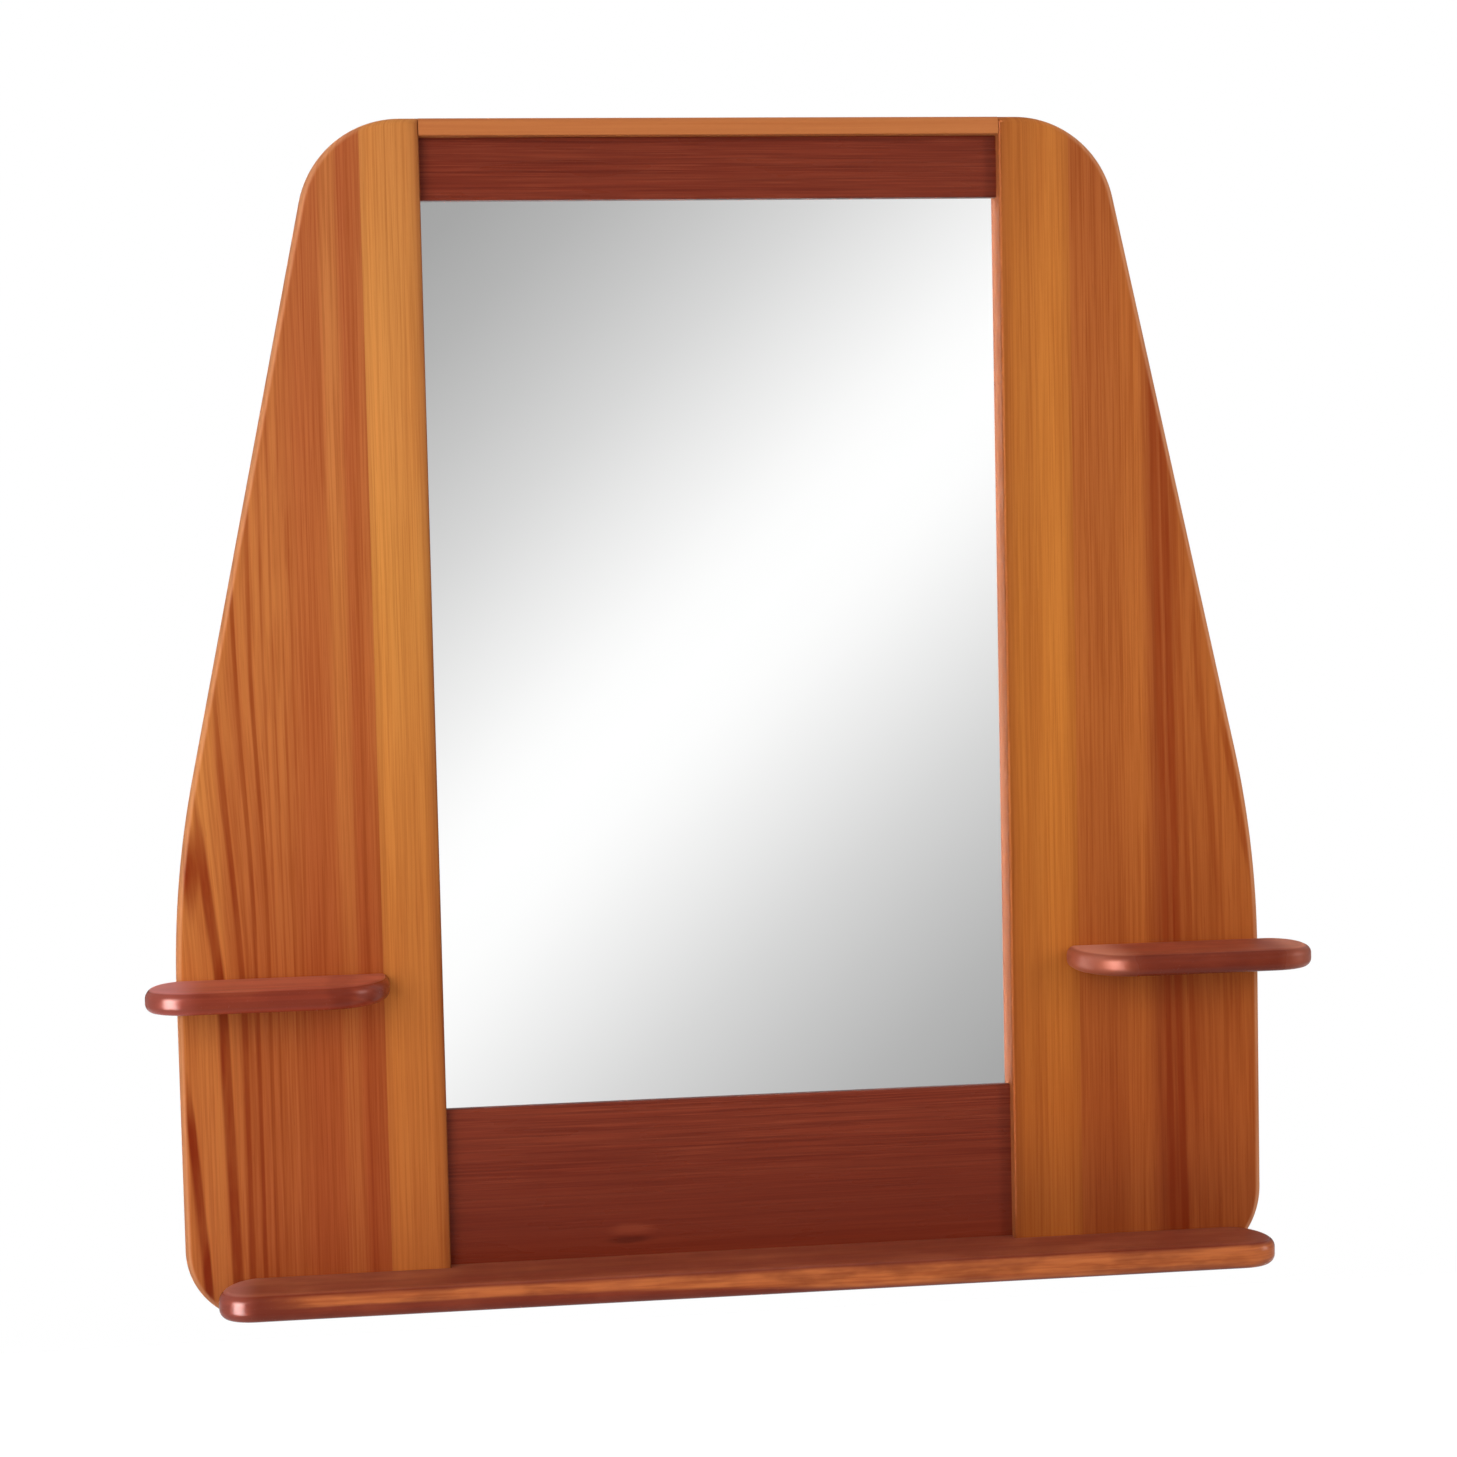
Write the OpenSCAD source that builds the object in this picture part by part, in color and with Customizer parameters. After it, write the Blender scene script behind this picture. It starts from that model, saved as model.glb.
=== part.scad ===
// Wall mirror between two shaped pine side boards, with one long shelf below it and a small shelf
// on each side board. Millimetres, X to the right, Z up, the front faces -Y.
// The origin is midway between the two hanger holes, in the plane of the back.

/* [Side boards] */
// Height of the side boards
wing_h = 812; // [760:1:900]
// Width of a side board at its widest, in the lower part
wing_w = 179.5; // [150:0.5:220]
// Width that a side board would have at its top edge if its corner were left square
wing_top_w = 69; // [66:1:100]
// Thickness of the side boards
wing_t = 20; // [18:0.5:26]
// Height at which the slanted outer edge meets the upright one
bend_h = 301; // [270:1:380]
// Radius that softens the bend in the outer edge
bend_r = 680; // [200:10:800]
// Radius of the top outer corner
top_corner_r = 70; // [40:1:72]
// Radius of the left board's bottom outer corner
left_foot_r = 50; // [30:1:75]
// Radius of the right board's bottom outer corner
right_foot_r = 58; // [30:1:75]
// Rounding of the front arris along the shaped outline
wing_edge_r = 5; // [2:0.5:8]
// Rounding of the front arris beside the mirror
inner_edge_r = 2; // [1:0.5:3]
// Bevel of the back arris along the shaped outline
back_bevel = 1; // [0.5:0.5:2]
// Width of the light inner stave of the left side board
left_stave_w = 40; // [38:1:60]
// Width of the light inner stave of the right side board
right_stave_w = 49; // [38:1:60]

/* [Rails] */
// Clear width between the side boards
opening_w = 396; // [330:1:480]
// Thickness of the two rails
rail_t = 11; // [10:0.5:14]
// Height of the light strip that closes the top
lip_h = 12; // [8:0.5:16]
// Rounding of the strip's upper front arris
lip_edge_r = 4; // [1:0.5:5]
// Height of the top rail
top_rail_h = 42; // [36:1:60]
// Height of the bottom rail's upper edge above the foot of the side boards
bottom_rail_top = 138; // [125:1:180]
// Rounding of the front arris of a rail along the glass
rail_edge_r = 3; // [1:0.5:4]

/* [Mirror and back panel] */
// Thickness of the mirror glass
glass_t = 3; // [2:0.5:4]
// Width of the rebate that the glass lies in
glass_lap = 8; // [5:0.5:10]
// Thickness of the back panel
panel_t = 3.2; // [2.5:0.1:4]
// Width of the step that the back panel lies in
panel_lap = 20; // [14:0.5:22]
// Play of the glass and of the panel at each edge
sheet_play = 0.5; // [0.2:0.1:1]

/* [Bottom shelf] */
// Reach of the bottom shelf to the left of the middle
shelf_left = 354; // [340:1:370]
// Reach of the bottom shelf to the right of the middle
shelf_right = 377; // [340:1:390]
// Depth of the bottom shelf in front of the side boards
shelf_d = 48; // [48:1:70]
// Thickness of the bottom shelf
shelf_t = 19; // [16:0.5:24]
// Height of the bottom shelf's underside above the foot of the side boards
shelf_lift = 11; // [0:1:20]
// Width of the bottom shelf's rounded front corners, seen from above
shelf_corner_w = 25; // [12:1:35]
// Depth of those corners
shelf_corner_d = 20; // [12:1:20]
// Radius of the bottom shelf's back corners, seen from above
shelf_back_r = 27; // [12:1:28]
// Rounding of the bottom shelf's long and end edges
shelf_edge_r = 7; // [3:0.5:8]

/* [Side shelves] */
// Height of the side shelves' top above the foot of the side boards
side_shelf_top = 236; // [180:1:420]
// Thickness of the side shelves
side_shelf_t = 15.5; // [14:0.5:20]
// Depth of the side shelves in front of the side boards
side_shelf_d = 55; // [54:1:80]
// Distance from the left shelf's inner end to the mirror opening
left_shelf_in = 36; // [20:1:60]
// Distance from the right shelf's inner end to the mirror opening
right_shelf_in = 40; // [20:1:60]
// Overhang of the left shelf past the outer edge of its board
left_overhang = 18; // [10:1:35]
// Overhang of the right shelf past the outer edge of its board
right_overhang = 27; // [10:1:35]
// Width of the side shelves' rounded outer front corners, seen from above
side_outer_w = 32; // [12:1:45]
// Depth of those corners
side_outer_d = 26; // [12:1:30]
// Width of the side shelves' rounded inner front corners, seen from above
side_inner_w = 40; // [12:1:60]
// Depth of those corners
side_inner_d = 45; // [12:1:52]
// Radius of the side shelves' outer back corners, seen from above
side_back_r = 23; // [8:1:24]
// Rounding of the side shelves' long and end edges
side_edge_r = 6; // [3:0.5:6.5]

/* [Dowels] */
// Diameter of the dowels that join the rails to the side boards
dowel_d = 5; // [4:0.5:6]
// Length of those dowels
dowel_len = 30; // [24:1:40]
// Glue gap around a dowel
glue_gap = 0.05; // [0.02:0.01:0.1]
// Spacing of the dowels in the top rail
top_dowel_step = 18; // [14:1:20]
// Spacing of the dowels in the bottom rail
bottom_dowel_step = 35; // [24:1:38]
// Distance of the outermost dowels from the outer edge of their rail
dowel_edge = 10; // [8:0.5:14]

/* [Screws and nails] */
// Shank diameter of the shelf screws
screw_d = 4; // [3:0.5:5]
// Head diameter of the shelf screws
screw_head_d = 8; // [7:0.5:9]
// Length of the shelf screws
screw_len = 45; // [35:1:50]
// Distance of the bottom shelf's inner screws from the mirror opening
low_screw_in = 25; // [22:1:28]
// Distance of the bottom shelf's outer screws from the outer edges of the side boards
low_screw_out = 57; // [50:1:75]
// Distance of a side shelf's inner screw from the shelf's inner end
side_screw_in = 24; // [18:1:30]
// Distance of a side shelf's outer screw from the outer edge of its side board
side_screw_out = 32; // [24:1:40]
// Distance from the middle to each screw that holds the bottom rail to the shelf
rail_screw_x = 100; // [60:1:140]
// Play around screws and nails
screw_play = 0.05; // [0.02:0.01:0.1]
// Diameter of the back panel's nails
nail_d = 1.4; // [1:0.1:1.8]
// Head diameter of the back panel's nails
nail_head_d = 3.6; // [3:0.1:4.5]
// Length of the back panel's nails
nail_len = 9; // [7:0.5:9.5]
// Distance of the nails from the edge of the back panel
nail_edge = 6; // [5:0.5:7]
// Nails along each upright edge of the back panel
side_nails = 6; // [3:1:8]
// Nails along the top and the bottom edge of the back panel
cross_nails = 4; // [3:1:6]

/* [Hangers] */
// Distance of a hanger hole from the mirror opening
hanger_in = 62; // [59:1:66]
// Depth of the hanger holes below the top of the side boards
hanger_drop = 95; // [90:1:160]
// Width of a hanger plate
hanger_w = 18; // [16:0.5:19]
// Thickness of a hanger plate
hanger_t = 1.5; // [1:0.1:2]
// Diameter of a hanger's round hole, which lets a screw head in
hanger_hole_d = 10; // [8:0.5:11]
// Width of the slot that the screw's shank slides into
hanger_slot_w = 5; // [4:0.5:6]
// Length of that slot, from the round hole's centre to the slot's end
hanger_slot_l = 13; // [9:0.5:16]
// Distance from the round hole's centre to the lower end of the plate
hanger_low = 22; // [20:1:30]
// Distance from the end of the slot to the upper end of the plate
hanger_high = 20; // [18:1:30]
// Depth of the pocket behind a hanger plate
pocket_t = 6; // [4:0.5:8]
// Distance of a plate's screws from its ends
hanger_screw_in = 7; // [6:0.5:8]
// Shank diameter of the plates' screws
plate_screw_d = 3; // [2.5:0.5:3.5]
// Head diameter of the plates' screws
plate_screw_head_d = 6; // [5:0.5:7]
// Length of the plates' screws
plate_screw_len = 14; // [10:0.5:15]

/* [Hidden] */

half_open = opening_w / 2;
half_w = half_open + wing_w;
front_y = -wing_t;
rail_y = -rail_t;
lip_z = wing_h - lip_h;
glass_top = lip_z - top_rail_h;
glass_bottom = bottom_rail_top;
shelf_mid = shelf_lift + shelf_t / 2;
side_mid = side_shelf_top - side_shelf_t / 2;
hanger_z = wing_h - hanger_drop;
hanger_x = half_open + hanger_in;
plate_low = -hanger_low;
plate_high = hanger_slot_l + hanger_high;
dowel_y = -(panel_t + (rail_t - panel_t) / 2);
top_dowels = [for (i = [0, 1]) lip_z - dowel_edge - i * top_dowel_step];
bottom_dowels = [for (i = [0, 1, 2]) shelf_lift + dowel_edge + screw_head_d + i * bottom_dowel_step];
nail_x = half_open + panel_lap - sheet_play - nail_edge;
nail_top = glass_top + panel_lap - sheet_play - nail_edge;
nail_bottom = glass_bottom - panel_lap + sheet_play + nail_edge;
side_nail_run = glass_top - glass_bottom - 2 * panel_lap;
low_end = [shelf_corner_w, shelf_corner_d, shelf_back_r];
outer_end = [side_outer_w, side_outer_d, side_back_r];
inner_end = [side_inner_w, side_inner_d, 0];
left_shelf_x = -half_open - left_shelf_in;
right_shelf_x = half_open + right_shelf_in;
low_screws = [
    low_screw_out - half_w, -half_open - low_screw_in, -rail_screw_x,
    rail_screw_x, half_open + low_screw_in, half_w - low_screw_out
];
left_screws = [side_screw_out - half_w, left_shelf_x - side_screw_in];
right_screws = [right_shelf_x + side_screw_in, half_w - side_screw_out];
cross_nail_run = opening_w - 2 * dowel_len - 2 * panel_lap;
nails = concat(
    [for (s = [-1, 1], i = [0 : side_nails - 1])
        [s * nail_x, glass_bottom + panel_lap + side_nail_run * i / (side_nails - 1)]],
    [for (z = [nail_bottom, nail_top], i = [0 : cross_nails - 1])
        [cross_nail_run * (i / (cross_nails - 1) - 0.5), z]]
);

arc_steps = 12;
round_steps = 4;
cut_over = 1;
honey = [0.80, 0.50, 0.24];
russet = [0.66, 0.34, 0.17];
redwood = [0.45, 0.17, 0.12];

// An arc of radius r that rounds the corner at b between the directions to a and to c.
function fillet(a, b, c, r, n) =
    let (
        u = (a - b) / norm(a - b),
        w = (c - b) / norm(c - b),
        half = acos(u * w) / 2,
        centre = b + (u + w) / norm(u + w) * r / sin(half),
        from = b + u * r / tan(half) - centre,
        to = b + w * r / tan(half) - centre,
        start = atan2(from[1], from[0]),
        turn = atan2(from[0] * to[1] - from[1] * to[0], from * to)
    )
    [for (i = [0 : n]) centre + r * [cos(start + turn * i / n), sin(start + turn * i / n)]];

// How far a rounding of radius r draws an edge in, at a depth below the face.
function draw_in(r, depth) = depth >= r ? 0 : r - sqrt(r * r - (r - depth) * (r - depth));

// Outline of a side board in X and Z, drawn in by outer along the shaped edge and by inner beside
// the mirror: a straight top, the top corner, the slanted edge, the bend, the upright and the foot.
function wing_outline(foot_r, outer, inner) =
    let (
        run = wing_w - wing_top_w,
        drop = wing_h - bend_h,
        slant = norm([run, drop]),
        x0 = half_open + inner,
        top = wing_h - outer,
        side = half_w - outer,
        a = [x0, top],
        b = [half_open + wing_top_w - outer * (slant - run) / drop, top],
        c = [side, bend_h - outer * (slant - drop) / run],
        d = [side, outer],
        e = [x0, outer]
    )
    concat(
        [a],
        fillet(a, b, c, top_corner_r - outer, arc_steps),
        fillet(b, c, d, bend_r - outer, arc_steps / 2),
        fillet(c, d, e, foot_r - outer, arc_steps),
        [e]
    );

// A closed solid from outlines of equal length, each joined to the next by triangles.
module loft(rings) {
    n = len(rings[0]);
    last = len(rings) - 1;
    points = [for (ring = rings, p = ring) p];
    sides = [for (i = [0 : last - 1], k = [0 : n - 1], first = [true, false])
        let (a = i * n + k, b = i * n + (k + 1) % n)
        first ? [a, a + n, b + n] : [a, b + n, b]];
    polyhedron(points, concat([[for (k = [0 : n - 1]) k]], sides, [[for (k = [1 : n]) last * n + n - k]]));
}

// The right side board before it is cut: outlines that draw in over the rounded front arris.
module wing_blank(foot_r) {
    depths = [for (i = [0 : round_steps]) wing_edge_r * (1 - cos(90 * i / round_steps))];
    loft(concat(
        [for (d = depths)
            [for (p = wing_outline(foot_r, draw_in(wing_edge_r, d), draw_in(inner_edge_r, d)))
                [p[0], front_y + d, p[1]]]],
        [for (inset = [0, back_bevel])
            [for (p = wing_outline(foot_r, inset, 0)) [p[0], inset - back_bevel, p[1]]]]
    ));
}

// Two steps cut from behind around the opening, one for the glass and a wider one for the panel.
module rebate_cut() {
    sheet_cut(glass_lap, glass_t + panel_t);
    sheet_cut(panel_lap, panel_t);
}

module sheet_cut(lap, depth) {
    translate([-half_open - lap, -depth, glass_bottom - lap])
        cube([opening_w + 2 * lap, depth + cut_over, glass_top - glass_bottom + 2 * lap]);
}

// Moves what is built from the foot and the back of the boards to the origin at the hanger holes.
module placed() {
    translate([0, 0, -hanger_z])
        children();
}

module flipped(side) {
    if (side < 0)
        mirror([1, 0, 0])
            children();
    else
        children();
}

// A countersunk screw along -Y, its head flush with the back; grow widens it to cut its hole.
module screw_body(d, head_d, len, grow) {
    rotate([90, 0, 0])
        rotate_extrude($fn = 32)
            polygon([
                [0, -grow], [head_d / 2 + grow, -grow], [head_d / 2 + grow, 0],
                [d / 2 + grow, (head_d - d) / 2], [d / 2 + grow, len - d], [0, len + grow]
            ]);
}

module slotted_screw(d, head_d, len) {
    difference() {
        screw_body(d, head_d, len, 0);
        translate([-head_d / 2 - cut_over, -head_d / 7, -head_d / 16])
            cube([head_d + 2 * cut_over, head_d / 7 + cut_over, head_d / 8]);
    }
}

module nail_body(grow) {
    rotate([90, 0, 0])
        rotate_extrude($fn = 24)
            polygon([
                [0, -grow], [nail_head_d / 2 + grow, -grow], [nail_head_d / 2 + grow, nail_d / 2],
                [nail_d / 2 + grow, nail_d / 2], [nail_d / 2 + grow, nail_len - nail_d], [0, nail_len + grow]
            ]);
}

module nail_holes() {
    for (p = nails)
        translate([p[0], 0, p[1]])
            nail_body(screw_play);
}

module shelf_screw_holes() {
    for (x = low_screws)
        translate([x, 0, shelf_mid])
            screw_body(screw_d, screw_head_d, screw_len, screw_play);
    for (x = concat(left_screws, right_screws))
        translate([x, 0, side_mid])
            screw_body(screw_d, screw_head_d, screw_len, screw_play);
}

module dowels_at(heights, grow) {
    for (side = [-1, 1], z = heights)
        translate([side * half_open - dowel_len / 2 - grow, dowel_y, z])
            rotate([0, 90, 0])
                cylinder(d = dowel_d + 2 * grow, h = dowel_len + 2 * grow, $fn = 32);
}

module dowel_holes() {
    dowels_at(top_dowels, glue_gap);
    dowels_at(bottom_dowels, glue_gap);
}

// Outline of a hanger plate in X and Z about its round hole: a bar with round ends.
module plate_shape(grow) {
    r = hanger_w / 2;
    for (z = [plate_low + r, plate_high - r])
        translate([0, z])
            circle(r = r + grow, $fn = 48);
    translate([-r - grow, plate_low + r])
        square([hanger_w + 2 * grow, plate_high - plate_low - hanger_w]);
}

// A round hole that runs up into a slot, drawn in X and Z.
module keyhole_shape(hole_d, slot_w) {
    circle(d = hole_d, $fn = 48);
    translate([-slot_w / 2, 0])
        square([slot_w, hanger_slot_l]);
    translate([0, hanger_slot_l])
        circle(d = slot_w, $fn = 32);
}

// Draws a shape in X and Z and gives it a thickness in front of the back plane.
module sunk(depth) {
    rotate([90, 0, 0])
        linear_extrude(depth)
            children();
}

module plate_screws_at(side) {
    for (z = [plate_low + hanger_screw_in, plate_high - hanger_screw_in])
        translate([side * hanger_x, 0, hanger_z + z])
            children();
}

// The recess for a plate, the pocket for the wall screw's head and the plate's screw holes.
module hanger_cuts() {
    for (side = [-1, 1]) {
        translate([side * hanger_x, 0, hanger_z]) {
            translate([0, cut_over, 0])
                sunk(hanger_t + cut_over)
                    plate_shape(2 * screw_play);
            sunk(hanger_t + pocket_t)
                keyhole_shape(hanger_hole_d + 1, hanger_hole_d + 1);
        }
        plate_screws_at(side)
            screw_body(plate_screw_d, plate_screw_head_d, plate_screw_len, screw_play);
    }
}

// One side board with every cut made, before it is told apart into its two staves.
module wing(side) {
    difference() {
        flipped(side)
            wing_blank(side < 0 ? left_foot_r : right_foot_r);
        rebate_cut();
        dowel_holes();
        shelf_screw_holes();
        nail_holes();
        hanger_cuts();
    }
}

// The half space on the inner side of the glue line, or on the outer side of it.
module stave_zone(side, from, to) {
    flipped(side)
        translate([from, -wing_t - cut_over, -cut_over])
            cube([to - from, wing_t + 2 * cut_over, wing_h + 2 * cut_over]);
}

module stave(side, width) {
    placed()
        intersection() {
            wing(side);
            stave_zone(side, half_open - cut_over, half_open + width);
        }
}

module outer_board(side, width) {
    placed()
        intersection() {
            wing(side);
            stave_zone(side, half_open + width, half_w + cut_over);
        }
}

// A bar along X between the side boards, from its section in Y and Z.
module cross_bar(section) {
    translate([-half_open, 0, 0])
        rotate([90, 0, 90])
            linear_extrude(opening_w)
                polygon(section);
}

function bar_section(y0, z0, z1, low_r, high_r) = concat(
    [[0, z0]],
    fillet([0, z0], [y0, z0], [y0, z1], low_r, arc_steps / 2),
    fillet([y0, z0], [y0, z1], [0, z1], high_r, arc_steps / 2),
    [[0, z1]]
);

// Outline of a shelf in X and Y. An end is the width and depth of its front corner, a quarter
// ellipse, and the radius of its back corner, square where that is 0. Inset draws in the ends and
// the front, not the back.
function shelf_outline(x0, x1, depth, end0, end1, inset) =
    let (
        y0 = front_y - depth,
        turns = [for (i = [0 : arc_steps]) 90 * i / arc_steps],
        left = end0[2] > 0 ? turns : [90],
        right = end1[2] > 0 ? turns : [0]
    )
    concat(
        [for (a = left) [
            x0 + inset + max(end0[2] - inset, 0) * (1 - sin(a)),
            front_y - end0[2] * (1 - cos(a))
        ]],
        [for (a = turns) [
            x0 + end0[0] - (end0[0] - inset) * cos(a),
            y0 + end0[1] - (end0[1] - inset) * sin(a)
        ]],
        [for (a = turns) [
            x1 - end1[0] + (end1[0] - inset) * sin(a),
            y0 + end1[1] - (end1[1] - inset) * cos(a)
        ]],
        [for (a = right) [
            x1 - inset - max(end1[2] - inset, 0) * (1 - cos(a)),
            front_y - end1[2] * (1 - sin(a))
        ]]
    );

// A board with rounded ends and rounded edges that stands out from the front of the side boards.
module shelf_board(x0, x1, depth, z0, thick, end0, end1, edge) {
    turns = [for (i = [0 : round_steps]) 90 * i / round_steps];
    low = [for (a = turns) [edge * (1 - cos(a)), edge * (1 - sin(a))]];
    high = [for (i = [round_steps : -1 : 0]) [thick - low[i][0], low[i][1]]];
    loft([for (level = concat(low, high))
        [for (p = shelf_outline(x0, x1, depth, end0, end1, level[1])) [p[0], p[1], z0 + level[0]]]]);
}

module side_shelf(x0, x1, end0, end1) {
    color(redwood)
        placed()
            difference() {
                shelf_board(x0, x1, side_shelf_d, side_shelf_top - side_shelf_t, side_shelf_t,
                    end0, end1, side_edge_r);
                shelf_screw_holes();
            }
}

module shelf_screws_at(places, height) {
    color("goldenrod")
        placed()
            for (x = places)
                translate([x, 0, height])
                    slotted_screw(screw_d, screw_head_d, screw_len);
}

module hanger_plate(side) {
    color("silver")
        placed()
            difference() {
                translate([side * hanger_x, 0, hanger_z])
                    sunk(hanger_t)
                        difference() {
                            plate_shape(0);
                            keyhole_shape(hanger_hole_d, hanger_slot_w);
                        }
                plate_screws_at(side)
                    screw_body(plate_screw_d, plate_screw_head_d, plate_screw_len, screw_play);
            }
}

module hanger_screws(side) {
    color("gray")
        placed()
            plate_screws_at(side)
                slotted_screw(plate_screw_d, plate_screw_head_d, plate_screw_len);
}

module left_inner_stave() {
    color(honey)
        stave(-1, left_stave_w);
}

module left_outer_board() {
    color(russet)
        outer_board(-1, left_stave_w);
}

module right_inner_stave() {
    color(honey)
        stave(1, right_stave_w);
}

module right_outer_board() {
    color(russet)
        outer_board(1, right_stave_w);
}

module top_lip() {
    color(honey)
        placed()
            cross_bar(bar_section(front_y, lip_z, wing_h, inner_edge_r / 2, lip_edge_r));
}

module top_rail() {
    color(redwood)
        placed()
            difference() {
                cross_bar(bar_section(rail_y, glass_top, lip_z, rail_edge_r / 2, inner_edge_r / 4));
                rebate_cut();
                dowel_holes();
                nail_holes();
            }
}

module bottom_rail() {
    color(redwood)
        placed()
            difference() {
                cross_bar(bar_section(rail_y, shelf_lift, bottom_rail_top, inner_edge_r / 4, rail_edge_r));
                rebate_cut();
                dowel_holes();
                nail_holes();
                shelf_screw_holes();
            }
}

module top_rail_dowels() {
    color("burlywood")
        placed()
            dowels_at(top_dowels, 0);
}

module bottom_rail_dowels() {
    color("burlywood")
        placed()
            dowels_at(bottom_dowels, 0);
}

module sheet(lap, back, thick) {
    edge = lap - sheet_play;
    translate([-half_open - edge, -back - thick, glass_bottom - edge])
        cube([opening_w + 2 * edge, thick, glass_top - glass_bottom + 2 * edge]);
}

module mirror_glass() {
    color([0.80, 0.84, 0.86])
        placed()
            sheet(glass_lap, panel_t, glass_t);
}

module back_panel() {
    color("saddlebrown")
        placed()
            difference() {
                sheet(panel_lap, 0, panel_t);
                nail_holes();
            }
}

module back_panel_nails() {
    color("darkgray")
        placed()
            for (p = nails)
                translate([p[0], 0, p[1]])
                    nail_body(0);
}

// The long shelf, with a tongue at its back that fills the recess between the side boards.
module bottom_shelf() {
    color(redwood)
        placed()
            difference() {
                union() {
                    shelf_board(-shelf_left, shelf_right, shelf_d, shelf_lift, shelf_t,
                        low_end, low_end, shelf_edge_r);
                    translate([-half_open + sheet_play / 2, front_y - cut_over, shelf_lift])
                        cube([opening_w - sheet_play, wing_t - rail_t + cut_over, shelf_t]);
                }
                shelf_screw_holes();
            }
}

module left_side_shelf() {
    side_shelf(-half_w - left_overhang, left_shelf_x, outer_end, inner_end);
}

module right_side_shelf() {
    side_shelf(right_shelf_x, half_w + right_overhang, inner_end, outer_end);
}

module bottom_shelf_screws() {
    shelf_screws_at(low_screws, shelf_mid);
}

module left_side_shelf_screws() {
    shelf_screws_at(left_screws, side_mid);
}

module right_side_shelf_screws() {
    shelf_screws_at(right_screws, side_mid);
}

module left_hanger_plate() {
    hanger_plate(-1);
}

module right_hanger_plate() {
    hanger_plate(1);
}

module left_hanger_screws() {
    hanger_screws(-1);
}

module right_hanger_screws() {
    hanger_screws(1);
}

left_inner_stave();
left_outer_board();
right_inner_stave();
right_outer_board();
top_lip();
top_rail();
bottom_rail();
top_rail_dowels();
bottom_rail_dowels();
mirror_glass();
back_panel();
back_panel_nails();
bottom_shelf();
left_side_shelf();
right_side_shelf();
bottom_shelf_screws();
left_side_shelf_screws();
right_side_shelf_screws();
left_hanger_plate();
right_hanger_plate();
left_hanger_screws();
right_hanger_screws();
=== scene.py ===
import math

import bmesh
import bpy
import numpy as np
from mathutils import Matrix, Vector


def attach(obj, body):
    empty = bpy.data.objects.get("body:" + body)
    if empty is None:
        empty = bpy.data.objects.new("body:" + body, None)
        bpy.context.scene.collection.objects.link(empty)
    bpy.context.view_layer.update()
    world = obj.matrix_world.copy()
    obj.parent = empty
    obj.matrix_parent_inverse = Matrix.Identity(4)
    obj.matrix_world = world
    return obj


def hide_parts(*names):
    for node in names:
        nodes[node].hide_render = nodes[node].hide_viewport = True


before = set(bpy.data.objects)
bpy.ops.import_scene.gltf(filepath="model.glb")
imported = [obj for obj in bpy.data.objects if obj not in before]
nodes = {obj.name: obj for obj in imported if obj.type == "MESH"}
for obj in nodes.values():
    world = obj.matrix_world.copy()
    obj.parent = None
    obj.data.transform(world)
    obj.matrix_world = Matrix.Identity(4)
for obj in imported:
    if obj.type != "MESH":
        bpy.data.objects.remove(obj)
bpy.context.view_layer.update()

mm = 0.001
footDrop = 0.717         # the hanger holes are this far above the foot of the side boards

# Where the picture was taken from: metres and degrees, yaw to the right, pitch up, roll clockwise.
viewPoint = {"place": (-0.22546, -1.89429, -0.19787), "yaw": 6.93, "pitch": -3.7294, "roll": -1.2593, "lens": 67.947}


def addObject(name, data):
    made = bpy.data.objects.new(name, data)
    bpy.context.scene.collection.objects.link(made)
    return made


def makeCamera(view):
    data = bpy.data.cameras.new("viewCamera")
    data.lens, data.sensor_width = view["lens"], 36
    data.clip_start, data.clip_end = 0.05, 60
    camera = addObject("viewCamera", data)
    turn = (Matrix.Rotation(math.radians(-view["yaw"]), 4, "Z")
            @ Matrix.Rotation(math.radians(90 + view["pitch"]), 4, "X")
            @ Matrix.Rotation(math.radians(view["roll"]), 4, "Z"))
    camera.matrix_world = Matrix.Translation(view["place"]) @ turn
    bpy.context.scene.camera = camera
    bpy.context.scene.view_settings.view_transform = "Standard"


makeCamera(viewPoint)
print("camera set")


class Value:
    # A node's output. Sums, differences, products and quotients of values place the Math nodes for them.
    def __init__(self, socket):
        self.socket = socket

    def __add__(self, other):
        return calc("ADD", self, other)

    def __radd__(self, other):
        return calc("ADD", other, self)

    def __sub__(self, other):
        return calc("SUBTRACT", self, other)

    def __rsub__(self, other):
        return calc("SUBTRACT", other, self)

    def __mul__(self, other):
        return calc("MULTIPLY", self, other)

    def __truediv__(self, other):
        return calc("DIVIDE", self, other)


def outputsOf(node):
    # The outputs of a node, by number and by name.
    found = {}
    for number, socket in enumerate(node.outputs):
        found[number] = found[socket.name] = Value(socket)
    return found


def feed(socket, value):
    # The value may be a number, a colour or another node's output.
    if isinstance(value, Value):
        socket.id_data.links.new(value.socket, socket)
    else:
        socket.default_value = value


def treeOf(*values):
    return next(value.socket.id_data for value in values if isinstance(value, Value))


def put(tree, kind, inputs=None, **settings):
    node = tree.nodes.new("ShaderNode" + kind)
    for name, value in settings.items():
        setattr(node, name, value)
    for key, value in (inputs or {}).items():
        feed(node.inputs[key], value)
    return outputsOf(node)


def calc(operation, a, b=0.0, clamp=False):
    return put(treeOf(a, b), "Math", {0: a, 1: b}, operation=operation, use_clamp=clamp)[0]


def spread(value, low, high, toLow=0.0, toHigh=1.0, smooth=True):
    # Goes from toLow to toHigh while the value goes from low to high, and is level on both sides of that.
    return put(treeOf(value), "MapRange", {
        "Value": value, "From Min": low, "From Max": high, "To Min": toLow, "To Max": toHigh},
        interpolation_type="SMOOTHSTEP" if smooth else "LINEAR")[0]


def fall(value, low, high):
    return spread(value, low, high, 1.0, 0.0)


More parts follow.
